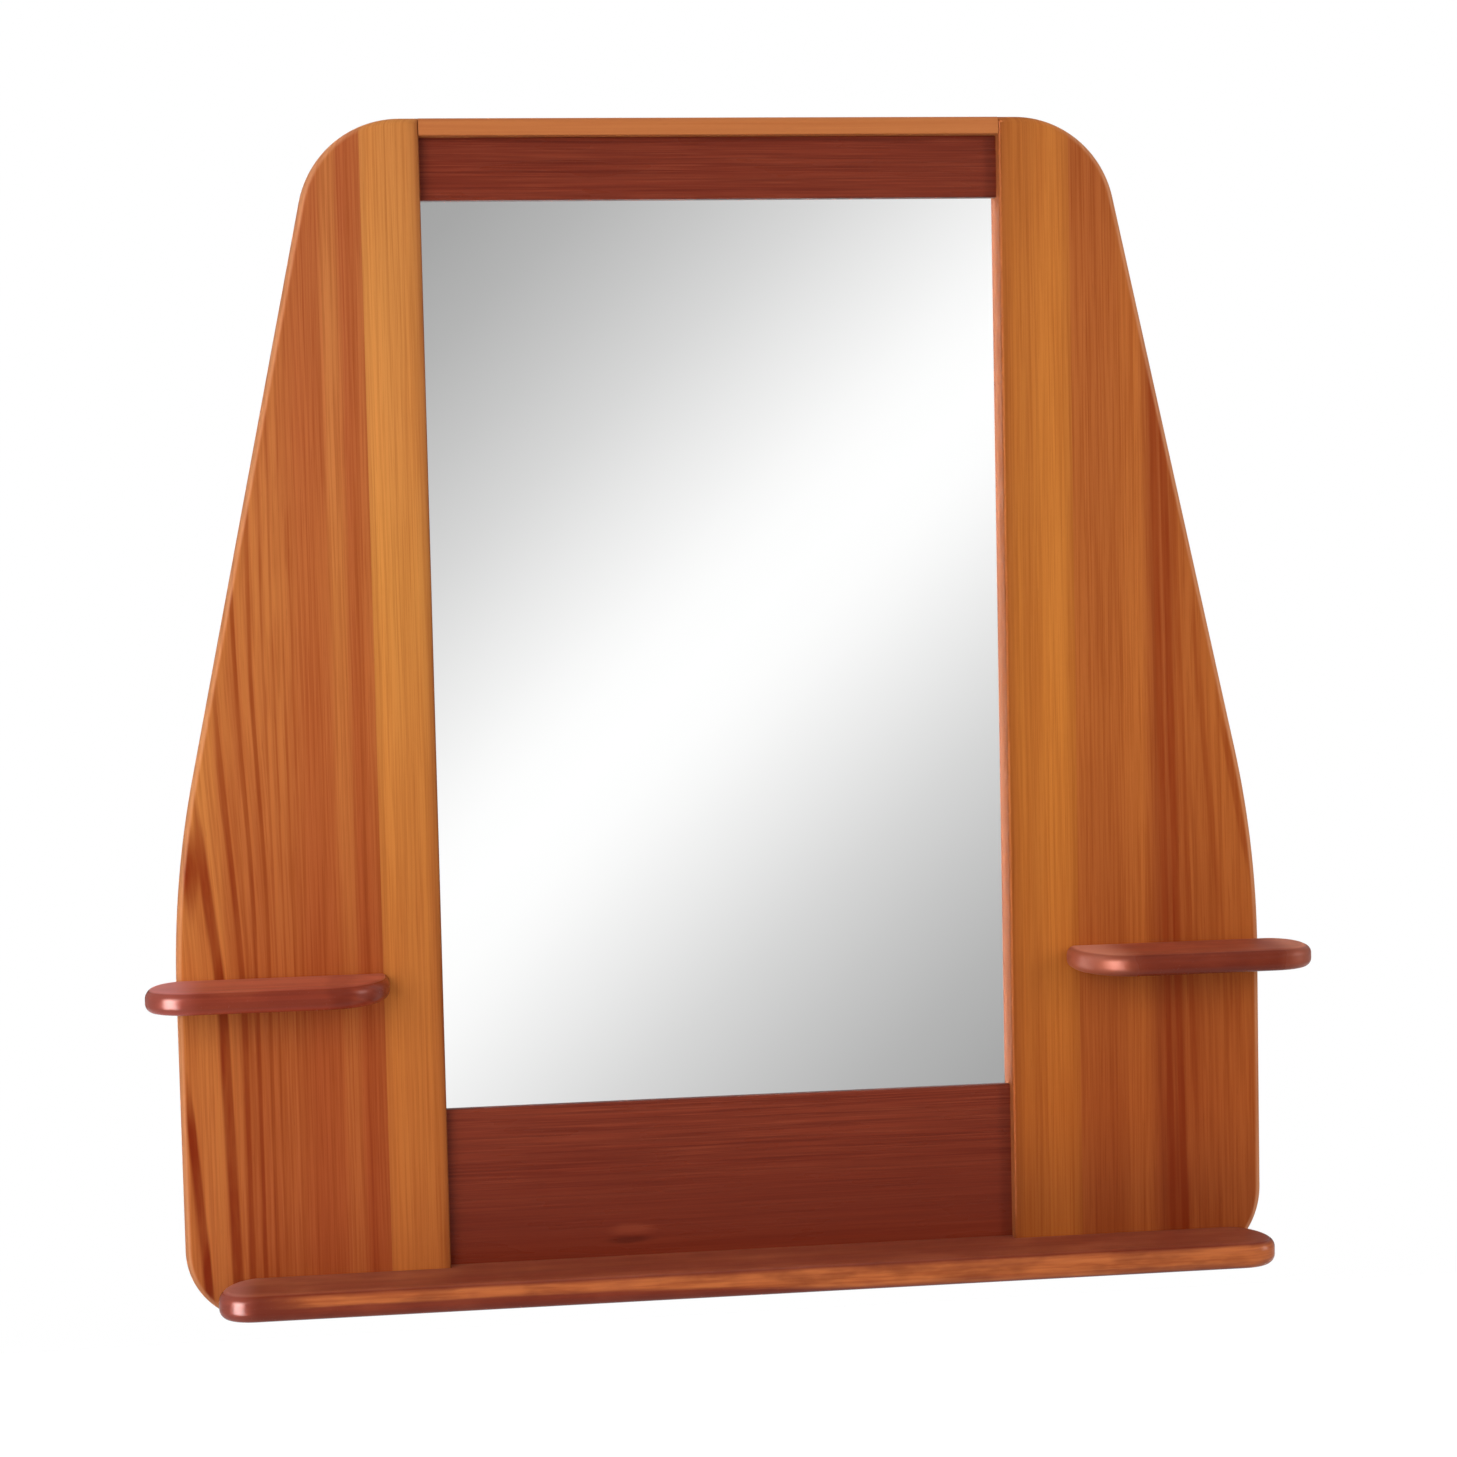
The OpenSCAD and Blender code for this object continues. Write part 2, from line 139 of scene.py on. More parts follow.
def mix(amount, a, b, how="MIX"):
    return put(treeOf(amount, a, b), "Mix", {0: amount, 6: a, 7: b}, data_type="RGBA", blend_type=how)[2]


def layered(tone, *layers):
    # Lays colours over each other, each by its own amount.
    for amount, colour in layers:
        tone = mix(amount, tone, colour)
    return tone


def tinted(tone, tint):
    return mix(1.0, tone, tint, "MULTIPLY")


def ramp(value, stops):
    node = treeOf(value).nodes.new("ShaderNodeValToRGB")
    feed(node.inputs[0], value)
    marks = node.color_ramp.elements
    while len(marks) < len(stops):
        marks.new(0.5)
    for mark, (place, colour) in zip(marks, sorted(stops, key=lambda stop: stop[0])):
        mark.position, mark.color = place, colour
    return Value(node.outputs[0])


def paint(red, green, blue):
    # A colour as it is read off a screen, 0 to 255, turned into the linear value that shaders take.
    levels = [c / 255 for c in (red, green, blue)]
    return tuple(c / 12.92 if c <= 0.04045 else ((c + 0.055) / 1.055) ** 2.4 for c in levels) + (1.0,)


def grey(level):
    return (level, level, level, 1.0)


def parts(vector):
    found = put(treeOf(vector), "SeparateXYZ", {0: vector})
    return found[0], found[1], found[2]


def joined(x, y, z):
    return put(treeOf(x, y, z), "CombineXYZ", {0: x, 1: y, 2: z})[0]


def shades(value, stops):
    # A number that follows marks of place and level.
    return parts(ramp(value, [(place, grey(level)) for place, level in stops]))[0]


def noise(vector, scale, detail, roughness=0.5):
    return put(treeOf(vector), "TexNoise", {
        "Vector": vector, "Scale": scale, "Detail": detail, "Roughness": roughness})[0]


def noiseAt(x, y, z, detail, roughness=0.5):
    return noise(joined(x, y, z), 1.0, detail, roughness)


def lengthOf(vector):
    return put(treeOf(vector), "VectorMath", {0: vector}, operation="LENGTH")["Value"]


def newGroup(name, inputs, outputs):
    # An input is a number with its start value, or a place where that is left out.
    tree = bpy.data.node_groups.new(name, "ShaderNodeTree")
    for label, value in inputs.items():
        kind = "NodeSocketVector" if value is None else "NodeSocketFloat"
        socket = tree.interface.new_socket(name=label, in_out="INPUT", socket_type=kind)
        if value is not None:
            socket.default_value = value
    for label in outputs:
        tree.interface.new_socket(name=label, in_out="OUTPUT", socket_type="NodeSocketFloat")
    return tree, outputsOf(tree.nodes.new("NodeGroupInput"))


def give(tree, values):
    result = tree.nodes.new("NodeGroupOutput").inputs
    for name, value in values.items():
        feed(result[name], value)
    return tree


def use(group, inputs):
    node = treeOf(*inputs.values()).nodes.new("ShaderNodeGroup")
    node.node_tree = group
    for key, value in inputs.items():
        feed(node.inputs[key], value)
    return outputsOf(node)


def makeWoodGrain():
    # Grain of a sawn board. Vector is in metres: across the grain, through the board, along the grain.
    tree, given = newGroup("woodGrain", {
        "Vector": None, "Spacing": 0.004, "Waver": 0.003, "Tilt": 0.8, "Seed": 0.0},
        ("Lines", "Fibres", "Bands", "Flecks", "Relief"))
    seed, spacing = given["Seed"], given["Spacing"]
    across, depth, along = parts(given["Vector"])
    shift = (noiseAt(across * 9.0, seed, along * 2.4, 1.0) - 0.5) * given["Waver"]
    ring = across + depth * given["Tilt"] + shift
    step = ring / spacing
    # Lines: noise drawn out 90 times as long as it is wide.
    far = along / (spacing * 90.0)
    lines = spread(noiseAt(step, seed, far, 3.0, 0.62), 0.3, 0.7)
    bands = spread(noiseAt(step * 0.27, seed, far * 0.5, 1.0), 0.32, 0.68)
    # Fibres: thin dark hairlines, a third as wide as the lines.
    fibres = spread(noiseAt(step * 2.6, seed + 7.0, far * 2.2, 2.0, 0.6), 0.5, 0.68)
    # Flecks: sparse short dashes along the grain, where the resin canals are cut.
    flecks = spread(noiseAt(ring * 1500.0, seed, along * 70.0, 1.0), 0.68, 0.78)
    return give(tree, {"Lines": lines, "Fibres": fibres, "Bands": bands, "Flecks": flecks,
                       "Relief": lines * 0.5 - flecks * 0.35})


def makeGrainStreak():
    # One dark growth line: its middle starts at Foot, leans, and makes one smooth side step from Start to Stop.
    # Half is its half width, Inner and Outer its soft edges, Low and High its ends, which it reaches over Fade.
    tree, given = newGroup("grainStreak", {
        "X": 0.0, "Height": 0.0, "Ragged": 0.5, "Foot": 0.0, "Lean": 0.0, "Step": 0.0, "Start": 0.2, "Stop": 0.5,
        "Half": 0.1, "Inner": 1.0, "Outer": 1.1, "Low": -0.2, "High": 0.9, "Fade": 0.05}, ("Mask",))
    height, low, high, fade = given["Height"], given["Low"], given["High"], given["Fade"]
    climb = spread(height, given["Start"], given["Stop"], 0.0, given["Step"])
    middle = given["Foot"] + given["Lean"] * height + climb
    away = given["X"] - middle + (given["Ragged"] - 0.5) * 1.6
    # The line narrows to nothing at its two ends.
    ends = spread(height, low, low + fade) * fall(height, high - fade, high)
    half = given["Half"] * ends
    outer = fall(away, half, half + given["Outer"])
    inner = fall(away * -1.0, half, half + given["Inner"])
    return give(tree, {"Mask": outer * inner * ends})


def makeVarnish():
    # Brushed varnish: a slow waviness, drawn out along the grain, and fine dust under the film.
    tree, given = newGroup("varnishFilm", {"Vector": None, "Base Roughness": 0.25, "Unevenness": 0.08},
                           ("Roughness", "Relief"))
    across, depth, along = parts(given["Vector"])
    wave = noiseAt(across * 90.0, depth * 90.0, along * 14.0, 2.0)
    dust = spread(noise(given["Vector"], 900.0, 1.0), 0.66, 0.8)
    rough = given["Base Roughness"] + (wave - 0.5) * given["Unevenness"]
    return give(tree, {"Roughness": rough + dust * 0.06, "Relief": wave + dust * 0.3})


def makePlating():
    # Plated metal: cloudy crystals, hair scratches and small dull spots.
    tree, given = newGroup("platingWear", {
        "Vector": None, "Crystal Size": 0.002, "Scratches": 0.5, "Spots": 0.3}, ("Cloud", "Scratch", "Spot", "Relief"))
    place = given["Vector"]
    x, y, z = parts(place)
    cells = put(tree, "TexVoronoi", {"Vector": place, "Scale": calc("DIVIDE", 1.0, given["Crystal Size"])})["Color"]
    cloud = parts(cells)[0] * 0.5 + noise(place, 260.0, 3.0) * 0.5
    fine = noiseAt((x + z * 0.35) * 9000.0, y * 900.0, z * 260.0, 1.0)
    scratch = spread(fine, 0.62, 0.72) * given["Scratches"]
    spot = spread(noise(place, 700.0, 2.0), 0.6, 0.7) * given["Spots"]
    return give(tree, {"Cloud": cloud, "Scratch": scratch, "Spot": spot, "Relief": cloud * 0.3 - scratch})


woodGrain, grainStreak, varnishFilm, platingWear = makeWoodGrain(), makeGrainStreak(), makeVarnish(), makePlating()
print("shared effects made")


def newMaterial(name, specular=0.5, metallic=0.0):
    # Gives the material, the inputs of its shader and the place on the object.
    material = bpy.data.materials.new(name)
    material.use_nodes = True
    tree = material.node_tree
    shader = tree.nodes["Principled BSDF"].inputs
    feed(shader["Specular IOR Level"], specular)
    feed(shader["Metallic"], metallic)
    return material, shader, put(tree, "TexCoord")["Object"]


def surface(shader, tone, roughness, height, depth):
    # Depth is how far, in metres, the relief stands out where height is 1.
    feed(shader["Base Color"], tone)
    feed(shader["Roughness"], roughness)
    feed(shader["Normal"], put(treeOf(height), "Bump", {"Height": height, "Distance": depth, "Strength": 1.0})[0])


def varnished(shader, tone, place, look, grain, unevenness=0.1, dull=0.0, depth=0.00007):
    # Tone and relief of the wood under a film of varnish.
    film = use(varnishFilm, {"Vector": place, "Base Roughness": look["roughness"], "Unevenness": unevenness})
    surface(shader, tone, film["Roughness"] + dull, film["Relief"] * 0.5 + grain["Relief"], depth)


def grainOf(place, spacing, waver, tilt, seed):
    return use(woodGrain, {"Vector": place, "Spacing": spacing, "Waver": waver, "Tilt": tilt, "Seed": seed})


def sideways(place):
    # Across, through and along the grain of a rail or a shelf, where it runs to the side.
    x, y, z = parts(place)
    return joined(z, y, x)


def normalParts(place):
    return parts(put(treeOf(place), "NewGeometry")["Normal"])


# Painted shade: how much the colour is darkened by height, mostly towards the foot where less light falls: height in
# metres, then the share of red, green and blue that stays.
leftFootShade = [(0, 0.68, 0.48, 0.38), (0.06, 0.76, 0.55, 0.425), (0.18, 0.82, 0.63, 0.46), (0.3, 0.87, 0.725, 0.53),
            (0.4, 0.95, 0.86, 0.64), (0.5, 0.99, 0.96, 0.72), (0.6, 1, 0.96, 0.8), (0.7, 0.965, 0.945, 0.81),
            (0.79, 0.936, 0.876, 0.773)]
rightFootShade = [(0, 0.62, 0.46, 0.42), (0.06, 0.66, 0.51, 0.47), (0.12, 0.81, 0.625, 0.53), (0.25, 0.9, 0.785, 0.66),
             (0.4, 1, 0.93, 0.77), (0.55, 0.99, 0.94, 0.83), (0.7, 0.985, 0.925, 0.86), (0.82, 0.89, 0.81, 0.83)]
railFootShade = [(0, 0.78, 0.68, 0.66), (0.06, 0.82, 0.74, 0.7), (0.1, 0.92, 0.88, 0.86), (0.13, 1, 1, 1),
            (0.75, 0.95, 0.93, 0.93)]


def shadedByHeight(tone, height, stops):
    return tinted(tone, ramp(height, [(place, (red, green, blue, 1.0)) for place, red, green, blue in stops]))


# Growth: how light the wood is, from deep to light, by the distance in millimetres from the middle of the mirror.
boardSpan = (198, 378)
lightPine = {
    "left": {"deep": paint(162, 98, 56), "light": paint(221, 148, 81),
             "growth": [(198, 0), (202, 0.5), (207, 0.8), (222, 0.85), (232, 1), (238, 0.7)]},
    "right": {"deep": paint(168, 95, 44), "light": paint(208, 130, 59),
              "growth": [(198, 0), (208, 0.7), (216, 0.6), (228, 1), (238, 1), (247, 0.5)]},
    "lines": 0.6, "bands": 0.16, "fibres": 0.3, "flecks": 0.12, "spacing": 0.0019, "roughness": 0.42,
    "specular": 0.09, "dark": paint(140, 66, 20), "wornAndSheen": paint(214, 140, 92)}
redPine = dict(
    lightPine, lines=0.8, bands=0.22, fibres=0.4, flecks=0.16, dark=paint(140, 50, 12), wornAndSheen=paint(216, 150, 106),
    left={"deep": paint(184, 100, 58), "light": paint(222, 150, 88),
          "growth": [(238, 0.14), (252, 0), (257, 0.42), (264, 0.42), (268, 0.11), (284, 0.06), (300, 0.34),
                     (322, 0.31), (334, 0.45), (346, 0.8), (378, 0.95)]},
    right={"deep": paint(167, 88, 45), "light": paint(194, 114, 56),
           "growth": [(247, 0.7), (262, 0.55), (276, 0.6), (284, 0.85), (294, 1), (300, 0.5), (306, 0.07),
                      (320, 0), (328, 0.45), (345, 0.6), (378, 0.9)]})
boardFinish = {"grainDeep": (0.64, 0.44, 0.34, 1), "fleck": paint(96, 44, 24), "sealedBack": paint(196, 142, 88),
               "backShare": 0.35, "innerShadeTone": paint(126, 66, 34), "innerShadeShare": 0.85, "dull": 0.3}

# Growth lines of the two outer boards: millimetres from the middle, heights in metres above the foot.
leftStreaks = [
    dict(foot=315.6, lean=-4, step=7, start=0.26, stop=0.46, half=0.55, inner=1.2, outer=1.6, high=0.6, amount=0.6),
    dict(foot=323.4, step=8.5, start=0.24, stop=0.5, half=0.65, inner=1.2, outer=2, high=0.56, amount=0.72),
    dict(foot=332, step=14, stop=0.46, half=0.9, inner=1.5, outer=2.6, high=0.46, fade=0.09, amount=0.76),
    dict(foot=341.2, lean=24, step=10, stop=0.36, half=2.2, inner=2.2, outer=3.2, high=0.37, amount=0.88),
    dict(foot=360.4, lean=70, half=1.8, inner=2.2, outer=3.2, high=0.18, amount=0.92),
    dict(foot=366, half=4.2, inner=4, outer=4, low=0.262, high=0.36, amount=0.92),
    dict(foot=309.4, step=3, half=0.2, inner=1.1, outer=1.3, high=0.56, amount=0.4),
    dict(foot=329.2, lean=1, step=10, start=0.22, half=0.4, inner=1.5, outer=1.5, high=0.42, amount=0.2),
    dict(foot=303.6, step=2, high=0.7, amount=0.36),
    dict(foot=297.4, step=1, high=0.8, amount=0.34),
    dict(foot=291.8, step=1, high=0.8, amount=0.26),
    dict(foot=249, lean=-4, half=1.6, inner=2.5, outer=2.5, high=1, amount=0.14)]
rightStreaks = [
    dict(foot=313.6, lean=-15, half=1.3, inner=2.5, outer=2, high=0.72, amount=0.5),
    dict(foot=322, lean=-18, half=1.5, inner=1.8, outer=2.4, high=0.66, amount=0.6),
    dict(foot=333, lean=-26, half=0.9, inner=2, outer=2.2, low=0.1, high=0.62, amount=0.42),
    dict(foot=370, lean=-82, half=0.9, inner=2.2, outer=2.6, low=0.24, high=0.5, amount=0.34),
    dict(foot=421.6, lean=-178, half=1.2, inner=2.2, outer=3, low=0.26, high=0.42, amount=0.46),
    dict(foot=317, half=5.5, inner=6, outer=6, high=0.14, fade=0.1, amount=0.4),
    dict(foot=340, half=5.5, inner=4, outer=4, high=0.11, fade=0.09, amount=0.16),
    dict(foot=361, lean=-12, half=5, inner=4, outer=4, low=0.12, high=0.27, fade=0.1, amount=0.36),
    dict(foot=331, half=3.5, inner=3, outer=3, low=0.05, high=0.27, fade=0.08, amount=0.2),
    dict(foot=268, half=9, inner=8, outer=8, high=0.2, fade=0.1, amount=0.2)]
leftFlow = {"from": 285, "to": 352, "step": 14, "low": 0.18, "high": 0.5, "lean": 1}
rightFlow = {"from": 285, "to": 325, "step": 0, "low": 0.2, "high": 0.5, "lean": -16}


def boardMaterial(name, look, seed, flow, streaks=(), side=1):
    # A side board: tone by distance from the middle, fine lines, its own growth lines, and painted shade that darkens
    # it near the foot.
    material, shader, place = newMaterial(name, look["specular"])
    x, y, z = parts(place)
    height = z + footDrop
    fromMiddle = x * (side / mm)
    # The pattern slants through the thickness, so the edges and the end grain show it too.
    away = fromMiddle + (y + 0.02) * 1150.0
    # Towards the outer edge the grain leans: one smooth side step and an even lean on the way up.
    climb = spread(height, flow["low"], flow["high"], 0.0, flow["step"]) + height * flow["lean"]
    across = away - spread(away, flow["from"], flow["to"]) * climb
    # The rings are wider apart beyond 290 mm: there the pattern is drawn out by a factor of 1.8.
    beyond = calc("MAXIMUM", across - 290.0, 0.0)
    level = joined((across - beyond * 0.45) * mm, 0.0, z)
    grain = grainOf(level, look["spacing"], 0.002, 0.0, seed)
    ragged = noiseAt(across * 0.4, seed, z * 11.0, 3.0)
    wood, (first, last) = look["left" if side < 0 else "right"], boardSpan
    stage = spread(across + (ragged - 0.5) * 2.4, first, last, smooth=False)
    share = shades(stage, [((far - first) / (last - first), light) for far, light in wood["growth"]])
    tone = mix(share, wood["deep"], wood["light"])
    deep = tinted(tone, boardFinish["grainDeep"])
    for output, amount in (("Lines", look["lines"]), ("Bands", look["bands"])):
        less = (1.0 - grain[output]) * amount
        tone = mix(calc("SUBTRACT", less, 0.3 * amount, clamp=True), tone, deep)
    tone = mix(grain["Fibres"] * look["fibres"], tone, deep)
    faded = spread(noiseAt(across * 0.12, seed, z * 16.0, 3.0), 0.25, 0.75, 0.72, 1.12)
    for streak in streaks:
        shape = {key.capitalize(): value for key, value in streak.items() if key != "amount"}
        mask = use(grainStreak, {"X": away, "Height": height, "Ragged": ragged, **shape})["Mask"]
        tone = mix(calc("MULTIPLY", mask * faded, streak["amount"], clamp=True), tone, look["dark"])
    tone = mix(grain["Flecks"] * look["flecks"], tone, boardFinish["fleck"])
    # Painted shade: the colour is darkened towards the foot.
    tone = shadedByHeight(tone, height, leftFootShade if side < 0 else rightFootShade)
    # Painted highlight: the rounded outer arris, where it turns to the side, is painted paler and pinker, and its
    # varnish is duller.
    facing = normalParts(place)
    arris = spread(facing[0] * side, 0.06, 0.45) * spread(ragged, 0.2, 0.7, 0.3, 0.7)
    tone = mix(arris, tone, look["wornAndSheen"])
    # The back was only sealed, so it is paler and duller than the front.
    behind = spread(facing[1], 0.75, 0.95)
    tone = mix(behind * boardFinish["backShare"], tone, boardFinish["sealedBack"])
    # Painted shade: the inner face, which the mirror sits against, is darkened as shade in that narrow recess, and its
    # varnish is left duller.
    inner = fall(fromMiddle, first + 0.05, first + 0.8)
    tone = mix(inner * boardFinish["innerShadeShare"], tone, boardFinish["innerShadeTone"])
    dull = (behind + inner + arris) * boardFinish["dull"]
    varnished(shader, tone, place, look, grain, dull=dull, depth=0.00006)
    return material


railLook = {
    "ground": paint(132, 52, 32), "deep": paint(95, 30, 18), "light": paint(154, 72, 47),
    "fleck": paint(62, 22, 16), "roughness": 0.28, "specular": 0.14, "spacing": 0.0017,
    "calm": (0.03, 0.13), "calmAmount": 0.35}
# A flat knot in the lower rail: a pale eye over a dark fold. Middle and half size in metres, colour, strength.
knotMarks = (((-0.072, 0.0485), (0.017, 0.0042), railLook["light"], 0.75),
             ((-0.074, 0.041), (0.018, 0.0028), paint(66, 18, 10), 0.5))


def railMaterial(name, look, seed, marks=()):
    # A rail: dark stain that lets the grain show as fine lines along its length, calmer towards its lower edge.
    material, shader, place = newMaterial(name, look["specular"])
    x, y, z = parts(place)
    height, level = z + footDrop, sideways(place)
    grain = grainOf(level, look["spacing"], 0.006, 0.7, seed)
    lively = spread(height, *look["calm"], look["calmAmount"], 1.0)
    tone = layered(look["ground"], ((1.0 - grain["Lines"]) * lively * 0.85, look["deep"]),
                   (grain["Fibres"] * lively * 0.5, look["light"]),
                   (grain["Bands"] * 0.18, look["light"]), (grain["Flecks"] * 0.3, look["fleck"]))
    for (middleX, middleZ), (halfX, halfZ), colour, amount in marks:
        ripple = (noiseAt(x * 60.0, seed, z * 260.0, 2.0) - 0.5) * 0.9
        far = lengthOf(joined((x - middleX) / halfX, 0.0, (height - middleZ) / halfZ))
        tone = mix(spread(far + ripple, 0.35, 1.25, amount, 0.0), tone, colour)
    # Painted shade: the colour is darkened by height, most at the foot of the bottom rail.
    varnished(shader, shadedByHeight(tone, height, railFootShade), level, look, grain)
    return material


shelfLook = {
    "ground": paint(143, 57, 35), "deep": paint(110, 38, 22), "light": paint(160, 74, 44),
    "strip": paint(206, 115, 61), "stripDeep": paint(180, 92, 47), "fleck": paint(70, 26, 14),
    "roughness": 0.24, "specular": 0.18, "spacing": 0.0042, "wornAndSheen": paint(186, 98, 86),
    "ends": ((-0.354, -0.38, 0.5),), "patch": (-0.266, 0.012, 0.5), "blotch": 0.28,
    "endDull": 0, "topDull": 0.26, "top": (1.75, 2.7, 3.6, 1), "topSheenMiddle": 1, "under": (1.45, 1.35, 1.5, 1)}
longLook = dict(
    shelfLook, ground=paint(130, 52, 32), deep=paint(102, 34, 20), light=paint(150, 70, 44),
    ends=((-0.325, -0.345, 0.4),), patch=None, blotch=0.5, top=(1.5, 2.5, 2.8, 1), topSheenMiddle=0.5, under=(1, 1, 1, 1))
rightLook = dict(
    shelfLook, ground=paint(120, 45, 26), deep=paint(94, 31, 18), light=paint(140, 60, 36),
    ends=((0.282, 0.252, 0.5), (0.372, 0.392, 0.35)), patch=None, blotch=0.5, endDull=0.36,
    wornAndSheen=paint(190, 108, 82), top=(1.75, 2.6, 3, 1), under=(1, 1, 1, 1))


def sapwoodAndSheen(tone, look, seed, place, upward):
    # The pale strip along the front of the long shelf: narrow on the left, where it lies on the upper rounding and is a
    # painted highlight, and as high as the whole front on the right, where it is paler wood.
    x, y, z = parts(place)
    figure = noiseAt(x * 14.0, seed, z * 320.0, 3.0, 0.6)
    wave = (figure - 0.5) * 3.0
    lowEdge = spread(x, -0.12, 0.22, 19.6, 8.0) + wave
    above = spread((z + footDrop) / mm, lowEdge, lowEdge + 3.4)
    front = fall(y + wave * 0.0003, -0.0672, -0.0648)
    # At the right end it goes round the corner.
    corner = spread(x, 0.346, 0.358) * fall(upward, 0.5, 0.85)
    inside = spread(x, -0.33, -0.285) * fall(x, 0.3735, 0.3772)
    pale = mix(spread(figure, 0.36, 0.66), look["strip"], look["stripDeep"])
    return mix(above * calc("MAXIMUM", front, corner) * inside * 0.92, tone, pale)


def shelfMaterial(name, look, seed, paleStrip=False):
    # A shelf: dark stain over lively grain, blotched, worn paler at its ends with a painted sheen there, and with
    # painted light on its top and underside.
    material, shader, place = newMaterial(name, look["specular"])
    x, y, z = parts(place)
    level, upward = sideways(place), normalParts(place)[2]
    grain = grainOf(level, look["spacing"], 0.012, 0.5, seed)
    tone = layered(look["ground"], ((1.0 - grain["Lines"]) * 0.5, look["deep"]), (grain["Bands"] * 0.35, look["light"]))
    if paleStrip:
        tone = sapwoodAndSheen(tone, look, seed, place, upward)
    # Slow blotches, where the stain took unevenly.
    blotch = noiseAt(x * 22.0, y * 40.0, z * 70.0, 3.0, 0.55)
    tone = layered(tone, (spread(blotch, 0.3, 0.62, look["blotch"], 0.0), look["deep"]),
                   (spread(blotch, 0.52, 0.78, 0.0, 0.4), look["light"]), (grain["Flecks"] * 0.3, look["fleck"]))
    if look["patch"]:
        middle, half, amount = look["patch"]
        near = calc("ABSOLUTE", x - middle + (blotch - 0.5) * 0.02)
        tone = mix(spread(near, half * 0.3, half, amount, 0.0), tone, look["deep"])
    # The ends are handled most: the stain is worn paler and the varnish dulled. The paler tone is also a painted sheen,
    # round the highlights on the rounded ends.
    wornAndSheen = 0.0
    for start, stop, amount in look["ends"]:
        levels = (0.0, amount) if stop > start else (amount, 0.0)
        wornAndSheen = wornAndSheen + spread(x, min(start, stop), max(start, stop), *levels)
    tone = mix(wornAndSheen, tone, look["wornAndSheen"])
    # Painted sheen: the top is painted lighter and browner than the rounded front, where light falls on it, less in the
    # middle of the long shelf; its varnish is also duller.
    above = spread(upward, 0.8, 0.98)
    topSheen = above * spread(x, -0.24, -0.17, 1.0, look["topSheenMiddle"])
    tone = mix(topSheen, tone, tinted(tone, look["top"]))
    # Painted light: the underside is lightened, as if lit from below.
    tone = mix(fall(upward, -0.8, -0.2), tone, tinted(tone, look["under"]))
    dull = above * look["topDull"] + wornAndSheen * look["endDull"]
    varnished(shader, tone, level, look, grain, 0.08, dull)
    return material


lipLook = {"ground": paint(196, 118, 66), "deep": paint(176, 94, 50), "light": paint(205, 128, 74),
           "fleck": paint(110, 52, 28), "spacing": 0.0026, "roughness": 0.42, "specular": 0.09}


def lipMaterial(look):
    material, shader, place = newMaterial("lightPineLip", look["specular"])
    level = sideways(place)
    grain = grainOf(level, look["spacing"], 0.005, 0.6, 31.0)
    tone = layered(look["ground"], ((1.0 - grain["Lines"]) * 0.5, look["deep"]),
                   (grain["Bands"] * 0.3, look["light"]), (grain["Flecks"] * 0.2, look["fleck"]))
    varnished(shader, tone, level, look, grain, depth=0.00006)
    return material


def mirrorMaterial():
    # Silvered glass seen from the front, grey protective paint on the back and edges.
    material, shader, place = newMaterial("silveredGlass")
    front = spread(parts(place)[1], -0.0033, -0.00325, 1.0, 0.0, smooth=False)
    silver = mix(noise(place, 5.0, 3.0), (0.935, 0.938, 0.936, 1), (0.952, 0.955, 0.953, 1))
    feed(shader["Base Color"], mix(front, paint(120, 112, 104), silver))
    feed(shader["Metallic"], front)
    feed(shader["Roughness"], (1.0 - front) * 0.5)
    return material


def hardboardMaterial():
    # Pressed fibre: matted short fibres over slow cloudy tone.
    material, shader, place = newMaterial("rawHardboard", 0.25)
    x, y, z = parts(place)
    upright, level = noiseAt(x * 1800.0, y, z * 420.0, 2.0), noiseAt(x * 420.0, y, z * 1800.0, 2.0)
    mat = calc("MAXIMUM", upright, level)
    tone = mix(spread(noise(place, 14.0, 4.0), 0.35, 0.65), paint(118, 82, 54), paint(138, 98, 66))
    tone = mix(spread(mat, 0.55, 0.75) * 0.45, tone, paint(170, 130, 92))
    surface(shader, tone, spread(mat, 0.4, 0.75, 0.55, 0.75), mat, 0.00015)
    return material


def metalMaterial(name, look):
    material, shader, place = newMaterial(name, 0.5, 1.0)
    wear = use(platingWear, {"Vector": place, "Crystal Size": look["crystal"], "Scratches": look["scratches"],
                             "Spots": look["spots"]})
    tone = mix(wear["Cloud"], look["plain"], look["cloudy"])
    tone = mix(wear["Spot"], tone, look["spotColour"])
    surface(shader, tone, look["roughness"] + wear["Cloud"] * 0.12 + wear["Spot"] * 0.3, wear["Relief"], 0.00003)
    return material


def dowelMaterial():
    material, shader, place = newMaterial("beechDowel", 0.25)
    grain = grainOf(sideways(place), 0.0012, 0.001, 0.5, 47.0)
    tone = mix(grain["Lines"], paint(178, 136, 96), paint(204, 168, 126))
    tone = mix(grain["Flecks"] * 0.7, tone, paint(140, 96, 62))
    surface(shader, tone, spread(grain["Lines"], 0.0, 1.0, 0.62, 0.5), grain["Relief"], 0.0001)
    return material


plainMetal = {"spotColour": (0.2, 0.19, 0.18, 1), "roughness": 0.26, "crystal": 0.001, "scratches": 0.4, "spots": 0.25}
metals = {
    "wireNail": dict(plainMetal, plain=(0.5, 0.5, 0.51, 1), cloudy=(0.36, 0.36, 0.37, 1),
                     spotColour=(0.16, 0.08, 0.04, 1), roughness=0.28, crystal=0.0008, spots=0.5),
    "yellowZinc": dict(plainMetal, plain=(0.72, 0.58, 0.3, 1), cloudy=(0.62, 0.5, 0.36, 1), roughness=0.24),
    "plateZinc": dict(plainMetal, plain=(0.66, 0.67, 0.69, 1), cloudy=(0.5, 0.51, 0.54, 1), crystal=0.0025,
                      scratches=0.6),
    "smallScrewZinc": dict(plainMetal, plain=(0.6, 0.6, 0.62, 1), cloudy=(0.46, 0.46, 0.49, 1), spots=0.3)}
